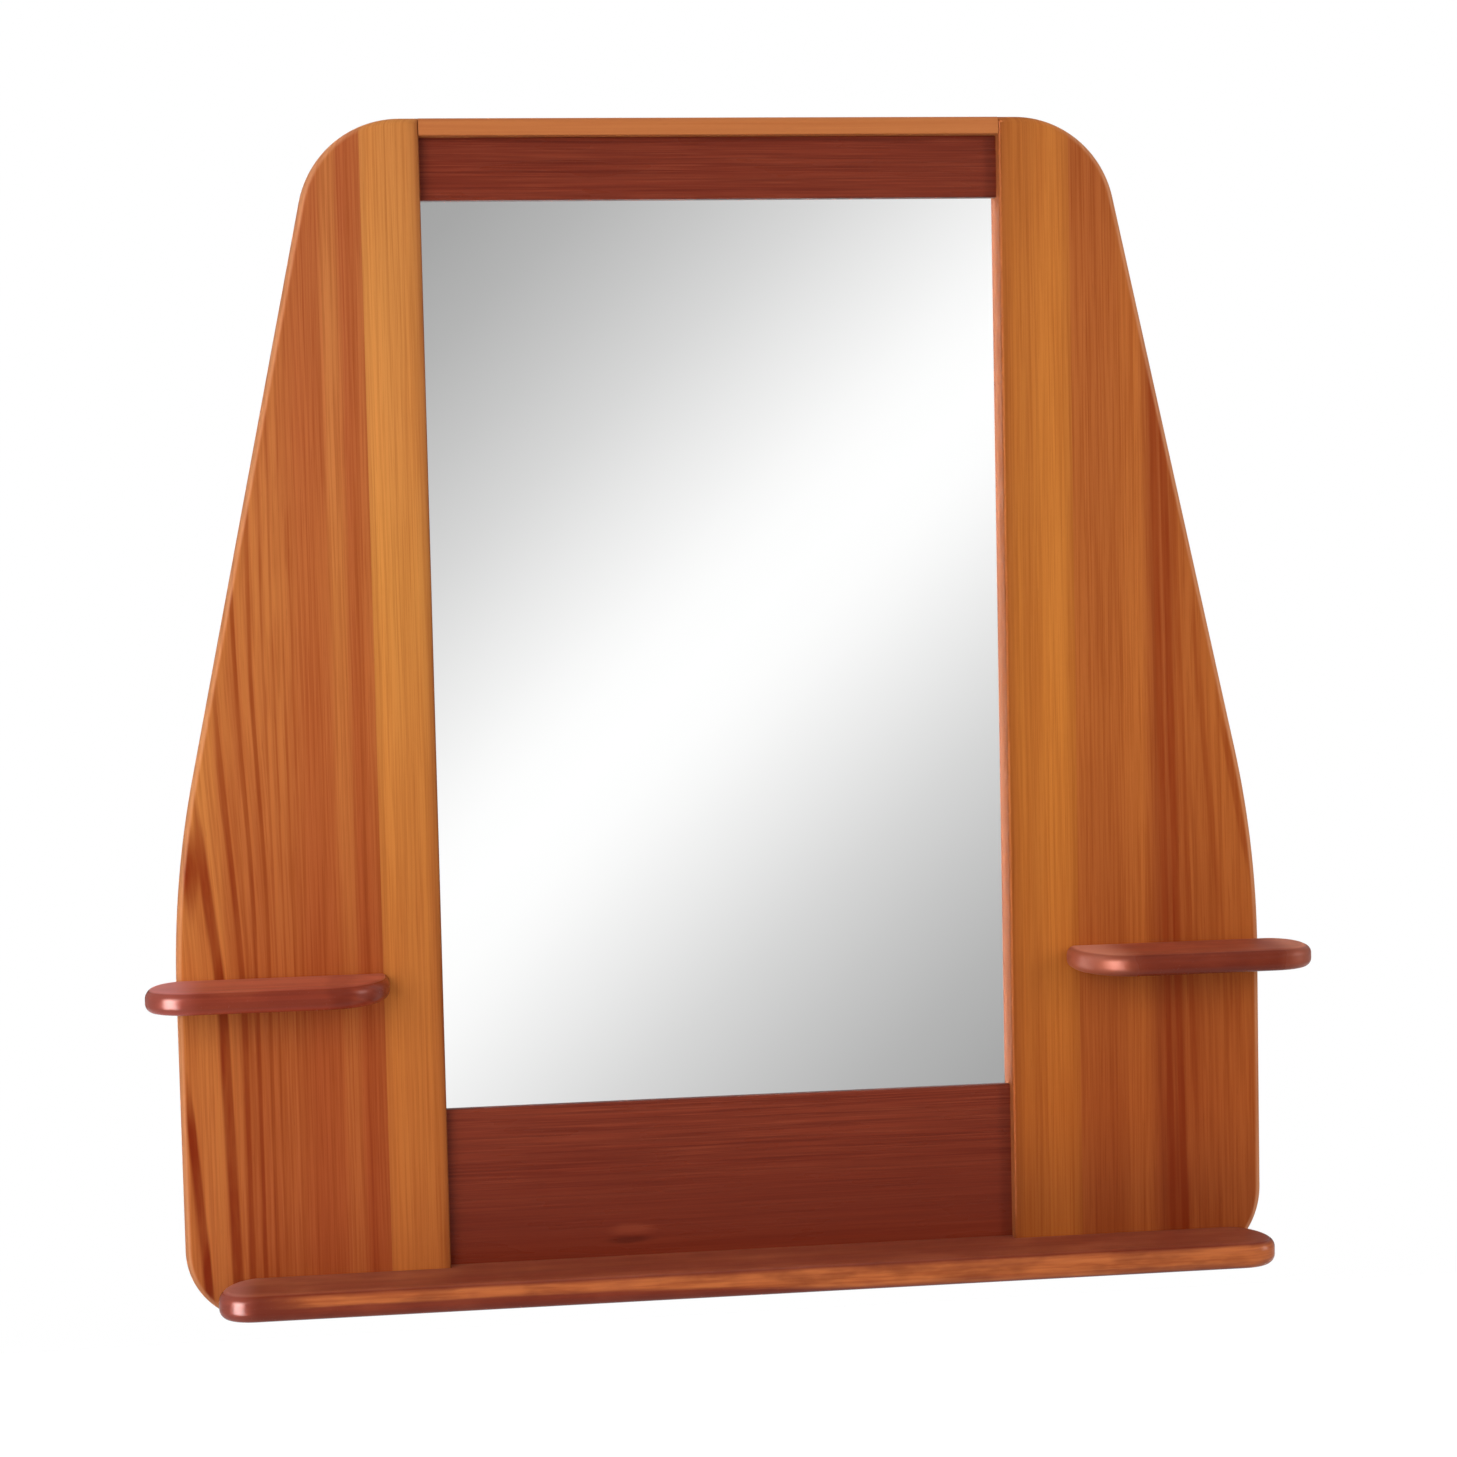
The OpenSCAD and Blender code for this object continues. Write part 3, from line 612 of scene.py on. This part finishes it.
materials = {
    "leftStave": boardMaterial("lightPineLeft", lightPine, 3.0, leftFlow, side=-1),
    "rightStave": boardMaterial("lightPineRight", lightPine, 11.0, rightFlow, side=1),
    "leftBoard": boardMaterial("redPineLeft", redPine, 5.0, leftFlow, leftStreaks, -1),
    "rightBoard": boardMaterial("redPineRight", redPine, 8.0, rightFlow, rightStreaks, 1),
    "lip": lipMaterial(lipLook),
    "topRail": railMaterial("darkRailTop", dict(railLook, calm=(0.7, 0.8), calmAmount=0.7), 17.0),
    "bottomRail": railMaterial("darkRailBottom", railLook, 19.0, knotMarks),
    "longShelf": shelfMaterial("darkShelfLong", longLook, 23.0, True),
    "leftShelf": shelfMaterial("darkShelfLeft", shelfLook, 29.0),
    "rightShelf": shelfMaterial("darkShelfRight", rightLook, 37.0),
    "mirror": mirrorMaterial(),
    "hardboard": hardboardMaterial(),
    "dowel": dowelMaterial()}
materials.update({name: metalMaterial(name, look) for name, look in metals.items()})
print("materials made:", len(materials))


# Shapes. Lengths are in millimetres from the middle, the wall and the foot of the side boards.
def points(*columns):
    return np.stack(np.broadcast_arrays(*columns), -1)


def roundCorner(a, b, c, radius, count):
    # An arc of that radius tangent to b-a and b-c: centre plus radius times cosine and sine of an even turn.
    a, b, c = (np.array(p, float) for p in (a, b, c))
    u, w = (a - b) / np.linalg.norm(a - b), (c - b) / np.linalg.norm(c - b)
    half = math.acos(float(u @ w)) / 2
    centre = b + (u + w) / np.linalg.norm(u + w) * radius / math.sin(half)
    first, last = b + u * radius / math.tan(half) - centre, b + w * radius / math.tan(half) - centre
    start = math.atan2(first[1], first[0])
    turn = math.atan2(first[0] * last[1] - first[1] * last[0], float(first @ last))
    angle = start + turn * np.linspace(0, 1, count + 1)
    return centre + radius * points(np.cos(angle), np.sin(angle))


def newPiece(name, places, faces):
    mesh = bpy.data.meshes.new(name)
    mesh.from_pydata((np.asarray(places) * mm - np.array([0, 0, footDrop])).tolist(), [], faces)
    work = bmesh.new()
    work.from_mesh(mesh)
    bmesh.ops.recalc_face_normals(work, faces=work.faces)
    work.to_mesh(mesh)
    work.free()
    return addObject(name, mesh)


def ringSolid(name, rings):
    # A closed solid: rings of equal length are joined by four-sided faces, the first and last are filled.
    rings = np.asarray(rings, float)
    count, size = rings.shape[:2]
    low = np.arange(count - 1)[:, None] * size + np.arange(size)[None, :]
    high = np.arange(count - 1)[:, None] * size + (np.arange(size)[None, :] + 1) % size
    sides = np.stack([low, high, high + size, low + size], -1).reshape(-1, 4)
    ends = [list(range(size)), list(range((count - 1) * size, count * size))]
    return newPiece(name, rings.reshape(-1, 3), sides.tolist() + ends)


def block(name, x0, x1, y0, y1, z0, z1):
    ring = np.array([[x0, 0, z0], [x1, 0, z0], [x1, 0, z1], [x0, 0, z1]], float)
    return ringSolid(name, [ring + [0, y0, 0], ring + [0, y1, 0]])


def turned(name, profile, place, axis="Y", count=32):
    # A profile of (radius, distance) carried round an axis that starts at place.
    profile = np.asarray(profile, float)
    angle = np.linspace(0, 2 * np.pi, count, endpoint=False)
    radius, reach = profile[:, :1], profile[:, 1:]
    side, up = radius * np.cos(angle), radius * np.sin(angle)
    ring = points(side, reach, up) if axis == "Y" else points(reach, side, up)
    return ringSolid(name, ring + np.asarray(place, float))


def stadium(radius, low, high, count=24):
    # A bar with round ends, drawn in X and Z.
    angle = np.linspace(0, np.pi, count)
    top = points(radius * np.cos(angle), high - radius + radius * np.sin(angle))
    foot = points(-radius * np.cos(angle), low + radius - radius * np.sin(angle))
    return np.concatenate([top, foot])


def sunkShape(name, outline, place, y0, y1):
    flat = points(outline[:, 0] + place[0], 0.0, outline[:, 1] + place[1])
    return ringSolid(name, [flat + [0, y0, 0], flat + [0, y1, 0]])


def combine(piece, tools, operation="DIFFERENCE"):
    # Cuts the tools out of the piece, or joins or keeps what they share, and leaves plain faces behind.
    for tool in tools:
        step = piece.modifiers.new(tool.name, "BOOLEAN")
        step.operation, step.solver, step.object = operation, "EXACT", tool
    graph = bpy.context.evaluated_depsgraph_get()
    result = bpy.data.meshes.new_from_object(piece.evaluated_get(graph))
    piece.modifiers.clear()
    piece.data = result
    for tool in tools:
        bpy.data.objects.remove(tool)


def merged(name, pieces):
    # Several separate solids as one mesh.
    work = bmesh.new()
    for piece in pieces:
        work.from_mesh(piece.data)
        bpy.data.objects.remove(piece)
    mesh = bpy.data.meshes.new(name)
    work.to_mesh(mesh)
    work.free()
    return addObject(name, mesh)


def finish(piece, material, slotName, *replaced, angle=32):
    mesh = piece.data
    mesh.materials.clear()
    mesh.materials.append(materials[material])
    mesh.shade_smooth()
    mesh.set_sharp_from_angle(angle=math.radians(angle))
    weights = piece.modifiers.new("faceWeights", "WEIGHTED_NORMAL")
    weights.keep_sharp = True
    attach(piece, "root")
    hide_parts(*replaced)
    print("piece:", piece.name, len(mesh.polygons), "faces")


opening = {"half": 198, "low": 138, "high": 758, "glassLap": 8, "panelLap": 20, "glass": 3, "panel": 3.2,
           "play": 0.5}
dowels = {"radius": 2.5, "length": 30, "y": -7.1, "heights": (790, 772, 29, 64, 99), "gap": 0.05}
screws = {
    "shank": 4, "head": 8, "length": 45, "low": (-320.5, -223, -100, 100, 223, 320.5), "lowHeight": 20.5,
    "side": (-345.5, -258, 262, 345.5), "sideHeight": 228.25}
nails = {"shank": 1.4, "head": 3.6, "headDepth": 0.7, "tip": 1.4, "length": 9,
         "x": 211.5, "low": 124.5, "high": 771.5, "sideCount": 6, "crossCount": 4, "crossRun": 296}
hanger = {
    "x": 260, "z": 717, "width": 18, "low": -22, "high": 33, "thick": 1.5, "hole": 10,
    "slotEnd": 13, "pocket": 6, "plateGap": 0.1, "pocketGap": 0.5, "screws": (-15, 26),
    "shank": 3, "head": 6, "length": 14}
holePlay = 0.05     # room round a screw or a nail
axisRadius = 0.01   # of a turned shape where it closes
pastBack = 1.0      # how far a hole's shape stands out of the back


def screwHole(screw, place):
    head, shank, length = screw["head"], screw["shank"], screw["length"]
    wide, thin = head / 2 + holePlay, shank / 2 + holePlay
    profile = [(axisRadius, pastBack), (wide, pastBack), (wide, 0.0), (thin, -(head - shank) / 2),
               (thin, shank - length), (axisRadius, -length - holePlay)]
    return turned("hole", profile, (place[0], 0.0, place[1]))


def nailPlaces():
    upright = [(side * nails["x"], z) for side in (-1, 1)
               for z in np.linspace(opening["low"] + 20, opening["high"] - 20, nails["sideCount"])]
    level = [(x, z) for z in (nails["low"], nails["high"])
             for x in np.linspace(-nails["crossRun"] / 2, nails["crossRun"] / 2, nails["crossCount"])]
    return upright + level


def rebateTools():
    tools = []
    for lap, depth in ((opening["glassLap"], opening["glass"] + opening["panel"]),
                       (opening["panelLap"], opening["panel"])):
        tools.append(block("rebate", -opening["half"] - lap, opening["half"] + lap, -depth, pastBack,
                           opening["low"] - lap, opening["high"] + lap))
    return tools


def dowelTools():
    radius, half = dowels["radius"] + dowels["gap"], dowels["length"] / 2 + dowels["gap"]
    return [merged("dowelHoles", [
        turned("hole", [(radius, -half), (radius, half)], (side * opening["half"], dowels["y"], z), "X")
        for side in (-1, 1) for z in dowels["heights"]])]


def nailTools():
    head, shank = nails["head"] / 2 + holePlay, nails["shank"] / 2 + holePlay
    depth, length = nails["headDepth"], nails["length"]
    profile = [(axisRadius, pastBack), (head, pastBack), (head, -depth), (shank, -depth),
               (shank, nails["tip"] - length), (axisRadius, -length)]
    return [merged("nailHoles", [turned("hole", profile, (x, 0.0, z), count=24) for x, z in nailPlaces()])]


def shelfScrewTools():
    places = [(x, screws["lowHeight"]) for x in screws["low"]] + [(x, screws["sideHeight"]) for x in screws["side"]]
    return [merged("screwHoles", [screwHole(screws, place) for place in places])]


def hangerTools():
    thick, gap, radius = hanger["thick"], hanger["plateGap"], hanger["hole"] / 2 + hanger["pocketGap"]
    plate = stadium(hanger["width"] / 2 + gap, hanger["low"] - gap, hanger["high"] + gap)
    pocket = stadium(radius, -radius, hanger["slotEnd"] + radius)
    plates, pockets, holes = [], [], []
    for x in (-hanger["x"], hanger["x"]):
        place = (x, hanger["z"])
        plates.append(sunkShape("plate", plate, place, -thick, pastBack))
        pockets.append(sunkShape("pocket", pocket, place, -thick - hanger["pocket"], pastBack / 2))
        holes += [screwHole(hanger, (x, hanger["z"] + z)) for z in hanger["screws"]]
    return [merged("plateRecesses", plates), merged("wallScrewPockets", pockets), merged("plateScrewHoles", holes)]


sideBoard = {
    "height": 812, "width": 179.5, "topWidth": 69, "thick": 20, "bend": 301, "bendRadius": 680,
    "topRadius": 70, "footRadius": {-1: 50, 1: 58}, "edge": 5, "innerEdge": 2, "backBevel": 1,
    "seam": {-1: 40, 1: 49}, "edgeSteps": 9, "arcSteps": 30,
    "zone": {"near": 150, "far": 420, "y": (-30, 10), "z": (-10, 830)}}


def boardOutline(board, foot, outer, inner):
    # Straight top, top corner, slanted edge, bend, upright and foot, all drawn in by outer, or inner by the glass.
    run, drop = board["width"] - board["topWidth"], board["height"] - board["bend"]
    slant, half = math.hypot(run, drop), opening["half"]
    a = (half + inner, board["height"] - outer)
    b = (half + board["topWidth"] - outer * (slant - run) / drop, board["height"] - outer)
    c = (half + board["width"] - outer, board["bend"] - outer * (slant - drop) / run)
    d = (half + board["width"] - outer, outer)
    e = (half + inner, outer)
    return np.concatenate([
        [a], roundCorner(a, b, c, board["topRadius"] - outer, board["arcSteps"]),
        roundCorner(b, c, d, board["bendRadius"] - outer, board["arcSteps"] // 2),
        roundCorner(c, d, e, foot - outer, board["arcSteps"]), [e]])


def drawIn(radius, depth):
    # A quarter round: radius less the root of its square less the square of what is left of it.
    left = np.clip(radius - depth, 0, None)
    return radius - np.sqrt(np.clip(radius ** 2 - left ** 2, 0, None))


def boardBlank(name, board, side):
    foot = board["footRadius"][side]
    depths = board["edge"] * (1 - np.cos(np.linspace(0, np.pi / 2, board["edgeSteps"] + 1)))
    layers = [(depth, drawIn(board["edge"], depth), drawIn(board["innerEdge"], depth)) for depth in depths]
    layers += [(board["thick"] - board["backBevel"], 0.0, 0.0), (board["thick"], board["backBevel"], 0.0)]
    rings = []
    for depth, outer, inner in layers:
        line = boardOutline(board, foot, outer, inner)
        rings.append(points(side * line[:, 0], depth - board["thick"], line[:, 1]))
    return ringSolid(name, rings)


def makeSideBoards(board):
    # Each side board is shaped whole and parted at its seam: a zone keeps what lies on one side of it.
    zone = board["zone"]
    for side, word in ((-1, "left"), (1, "right")):
        seam = side * (opening["half"] + board["seam"][side])
        for name, node, look, slotName, end in (
                ("InnerStave", "_inner_stave", "Stave", "light_pine", side * zone["near"]),
                ("OuterBoard", "_outer_board", "Board", "red_pine", side * zone["far"])):
            piece = boardBlank(word + name, board, side)
            kept = block("zone", min(seam, end), max(seam, end), *zone["y"], *zone["z"])
            combine(piece, [kept], "INTERSECT")
            combine(piece, rebateTools() + dowelTools() + shelfScrewTools() + nailTools() + hangerTools())
            finish(piece, word + look, slotName, word + node)


makeSideBoards(sideBoard)
print("side boards made")

rails = {"thick": 11, "top": (758, 800), "bottom": (11, 138), "lip": (800, 812), "lipDepth": 20,
         "glassEdge": 3, "lipEdge": 4}


def crossBar(name, depth, low, high, lowRadius, highRadius, steps=8):
    # A bar between the side boards: its section in Y and Z, with two rounded front arrises, carried along X.
    section = np.concatenate([
        [(0.0, low)], roundCorner((0, low), (-depth, low), (-depth, high), lowRadius, steps),
        roundCorner((-depth, low), (-depth, high), (0, high), highRadius, steps), [(0.0, high)]])
    ends = [-opening["half"], opening["half"]]
    return ringSolid(name, [points(x, section[:, 0], section[:, 1]) for x in ends])


def makeRails():
    topRail = crossBar("topRail", rails["thick"], *rails["top"], rails["glassEdge"] / 2, 0.5)
    combine(topRail, rebateTools() + dowelTools() + nailTools())
    finish(topRail, "topRail", "dark_rail", "top_rail")
    bottomRail = crossBar("bottomRail", rails["thick"], *rails["bottom"], 0.5, rails["glassEdge"])
    combine(bottomRail, rebateTools() + dowelTools() + nailTools() + shelfScrewTools())
    finish(bottomRail, "bottomRail", "dark_rail", "bottom_rail")
    lip = crossBar("topLip", rails["lipDepth"], *rails["lip"], 1.0, rails["lipEdge"])
    finish(lip, "lip", "light_pine", "top_lip")


makeRails()
print("rails made")

# An end of a shelf: width and depth of its front corner, a quarter ellipse, and radius of its back corner.
backRounded, squareBack = (32, 26, 23), (40, 45, 0)
shelves = {
    "bottom": {"x": (-354, 377), "depth": 48, "z": (11, 30), "edge": 7,
               "ends": ((25, 20, 27), (25, 20, 27)), "tonguePlay": 0.25, "tongueLap": 1},
    "left": {"x": (-395.5, -234), "depth": 55, "z": (220.5, 236), "edge": 6, "ends": (backRounded, squareBack)},
    "right": {"x": (238, 404.5), "depth": 55, "z": (220.5, 236), "edge": 6, "ends": (squareBack, backRounded)}}


def shelfOutline(shelf, inset, steps=26):
    # Back corner, front corner, front corner, back corner, as quarter turns of ellipses; the back stays put.
    (x0, x1), back = shelf["x"], -sideBoard["thick"]
    front = back - shelf["depth"]
    (w0, d0, r0), (w1, d1, r1) = shelf["ends"]
    turn = np.linspace(0, np.pi / 2, steps + 1)
    sin, cos = np.sin(turn), np.cos(turn)
    left = points(x0 + inset + max(r0 - inset, 0) * (1 - sin), back - r0 * (1 - cos))
    right = points(x1 - inset - max(r1 - inset, 0) * (1 - cos), back - r1 * (1 - sin))
    return np.concatenate([
        left if r0 else left[-1:],
        points(x0 + w0 - (w0 - inset) * cos, front + d0 - (d0 - inset) * sin),
        points(x1 - w1 + (w1 - inset) * sin, front + d1 - (d1 - inset) * cos),
        right if r1 else right[:1]])


def shelfBlank(name, shelf, steps=9):
    # The outline is drawn in over two quarter rounds, at the underside and at the top.
    turn, edge = np.linspace(0, np.pi / 2, steps + 1), shelf["edge"]
    rise, inset = edge * (1 - np.cos(turn)), edge * (1 - np.sin(turn))
    low, high = shelf["z"]
    rings = []
    for z, draw in list(zip(low + rise, inset)) + list(zip(high - rise[::-1], inset[::-1])):
        line = shelfOutline(shelf, draw)
        rings.append(points(line[:, 0], line[:, 1], z))
    return ringSolid(name, rings)


def makeShelves():
    # A tongue carries the long shelf back to the bottom rail, which is thinner than the side boards.
    shelf = shelves["bottom"]
    low = shelfBlank("bottomShelf", shelf)
    half, lap = opening["half"] - shelf["tonguePlay"], shelf["tongueLap"]
    combine(low, [block("tongue", -half, half, -sideBoard["thick"] - lap, -rails["thick"], *shelf["z"])], "UNION")
    combine(low, shelfScrewTools())
    finish(low, "longShelf", "dark_shelf", "bottom_shelf")
    for side in ("left", "right"):
        piece = shelfBlank(side + "SideShelf", shelves[side])
        combine(piece, shelfScrewTools())
        finish(piece, side + "Shelf", "dark_shelf", side + "_side_shelf")


makeShelves()
print("shelves made")


def makeGlass(bevel=0.4):
    # The pane, with its sharp arrises taken off by a small ground bevel.
    edge, back = opening["glassLap"] - opening["play"], -opening["panel"]
    front = back - opening["glass"]
    rings = []
    for y, inset in ((front, bevel), (front + bevel, 0.0), (back - bevel, 0.0), (back, bevel)):
        x, low, high = opening["half"] + edge - inset, opening["low"] - edge + inset, opening["high"] + edge - inset
        rings.append([(-x, y, low), (x, y, low), (x, y, high), (-x, y, high)])
    finish(ringSolid("mirrorGlass", rings), "mirror", "mirror", "mirror_glass")


makeGlass()


def softened(name, node, material, slotName, width):
    # A copy of a machined part with its doubled points merged and its arrises eased.
    piece = addObject(name, nodes[node].data.copy())
    work = bmesh.new()
    work.from_mesh(piece.data)
    bmesh.ops.remove_doubles(work, verts=work.verts, dist=2e-6)
    bmesh.ops.dissolve_limit(work, angle_limit=math.radians(0.5), verts=work.verts, edges=work.edges)
    work.to_mesh(piece.data)
    work.free()
    ease = piece.modifiers.new("easedArris", "BEVEL")
    ease.width, ease.segments, ease.limit_method, ease.angle_limit = width * mm, 2, "ANGLE", math.radians(40)
    finish(piece, material, slotName, node, angle=35)


for side in ("left", "right"):
    softened(side + "HangerPlate", side + "_hanger_plate", "plateZinc", "plate_zinc", 0.25)
    softened(side + "HangerScrews", side + "_hanger_screws", "smallScrewZinc", "small_screw", 0.12)
    softened(side + "ShelfScrews", side + "_side_shelf_screws", "yellowZinc", "screw_zinc", 0.15)
softened("bottomShelfScrews", "bottom_shelf_screws", "yellowZinc", "screw_zinc", 0.15)
softened("panelNails", "back_panel_nails", "wireNail", "nail_steel", 0.12)
softened("backPanel", "back_panel", "hardboard", "hardboard", 0.3)
for node in ("top_rail_dowels", "bottom_rail_dowels"):
    for place in nodes[node].material_slots:
        place.material = materials["dowel"]
print("fittings made")

# Room: a pale floor well below the mirror, two soft lamps in front, and bands and windows that only gloss sees.
# Bands: the way they run across, their middle, their strength, and their levels by the distance from the middle.
room = {
    "floorDrop": 1.9, "floorSize": 3.2, "floorForward": 0.9, "floorWhite": 0.85,
    "floorShine": (2, 3.7, 0.2, 0.62), "fillUp": 0.7, "fillLevel": 0.34, "fillDown": 0.14, "aim": (0, 0, -0.3),
    "leftLamp": {"place": (-1.45, -2.15, 0.2), "size": (1.6, 1.9), "power": 32},
    "rightLamp": {"place": (2, -1.8, 0.1), "size": (0.6, 1.4), "power": 17},
    "leftGlow": {"towards": (-0.736, -0.663, -0.139), "wide": (0.12, 0.34), "tall": (0.35, 0.78), "level": 52},
    "rightGlow": {"towards": (0.93, -0.3, 0.2), "wide": (0.06, 0.26), "tall": (0.1, 0.4), "level": 8},
    "bandsTowards": (0.683, 0, -0.7306), "bandsMiddle": 0.1062, "bandsLevel": 1.06,
    "bands": [(0, 1), (0.017, 0.985), (0.031, 0.94), (0.06, 0.815), (0.09, 0.676), (0.118, 0.565),
              (0.147, 0.462), (0.176, 0.385), (0.22, 0.335), (0.32, 0.36), (0.45, 0.55), (0.75, 0.5), (1, 0.45)],
    "behindWall": (0.7, 0.93, 1, 0.32)}


def makeLamp(name, lamp, aim):
    data = bpy.data.lights.new(name, "AREA")
    data.shape, data.size, data.size_y = "RECTANGLE", lamp["size"][0], lamp["size"][1]
    data.energy = lamp["power"]
    light = addObject(name, data)
    light.visible_glossy = False     # the mirror doesn't show the lamps
    way = Vector(aim) - Vector(lamp["place"])
    light.matrix_world = Matrix.Translation(lamp["place"]) @ way.to_track_quat("-Z", "Y").to_matrix().to_4x4()


def makeRoom():
    size, forward, drop = room["floorSize"], room["floorForward"], room["floorDrop"]
    corners = [(x * size, y * size + forward, -drop) for x, y in ((-1, -1), (1, -1), (1, 1), (-1, 1))]
    mesh = bpy.data.meshes.new("paleFloor")
    mesh.from_pydata(corners, [], [(0, 1, 2, 3)])
    floor = addObject("paleFloor", mesh)
    material, shader, place = newMaterial("paleFloor", 0.1)
    feed(shader["Base Color"], grey(0.7))
    feed(shader["Roughness"], 0.9)
    feed(shader["Emission Color"], grey(1.0))
    rays = put(material.node_tree, "LightPath")
    seen = calc("MAXIMUM", rays["Is Camera Ray"], rays["Is Transmission Ray"])
    # In gloss the floor brightens outwards, so that its far edge fades into the room.
    shine = rays["Is Glossy Ray"] * spread(lengthOf(place), *room["floorShine"])
    feed(shader["Emission Strength"], seen * room["floorWhite"] + shine)
    mesh.materials.append(material)
    makeLamp("leftSoftLamp", room["leftLamp"], room["aim"])
    makeLamp("rightSoftLamp", room["rightLamp"], room["aim"])


def makeWorld():
    # White to the camera and even fill on the surfaces. Gloss sees soft slanting bands in front, where the mirror
    # looks, a tall bright window on the left, a dim one on the right, and a darker room behind the wall.
    world = bpy.data.worlds.new("studio")
    bpy.context.scene.world = world
    world.use_nodes = True
    tree = world.node_tree
    rays = put(tree, "LightPath")
    way = put(tree, "TexCoord")["Generated"]

    def towards(direction):
        return put(tree, "VectorMath", {0: way, 1: direction}, operation="DOT_PRODUCT")["Value"]

    off = calc("ABSOLUTE", towards(room["bandsTowards"]) - room["bandsMiddle"])
    level = shades(off, room["bands"]) * room["bandsLevel"] * spread(parts(way)[1], *room["behindWall"])
    # The two windows show in soft gloss alone: the mirror doesn't show them, or throw their light on the wood.
    direct = calc("LESS_THAN", rays["Diffuse Depth"], 0.5)
    atOnce = direct * (1.0 - rays["Is Singular Ray"])
    for glow in (room["leftGlow"], room["rightGlow"]):
        ahead = Vector(glow["towards"]).normalized()
        aside = ahead.cross((0.0, 0.0, 1.0)).normalized()
        window = atOnce * calc("GREATER_THAN", towards(ahead), 0.0)
        for axis, reach in ((aside, glow["wide"]), (aside.cross(ahead), glow["tall"])):
            window = window * spread(calc("ABSOLUTE", towards(axis)), *reach, 1.0, 0.0)
        level = level + window * glow["level"]
    lift = spread(parts(way)[2], -1.0, 1.0, smooth=False)
    fill = ramp(lift, [(0.0, grey(room["fillDown"])), (0.5, grey(room["fillLevel"])), (1.0, grey(room["fillUp"]))])
    shown = mix(rays["Is Glossy Ray"] * direct, fill, joined(level, level, level))
    seen = calc("MAXIMUM", rays["Is Camera Ray"], rays["Is Transmission Ray"])
    feed(tree.nodes["Background"].inputs["Color"], mix(seen, shown, grey(1.0)))


makeRoom()
makeWorld()
print("room made")
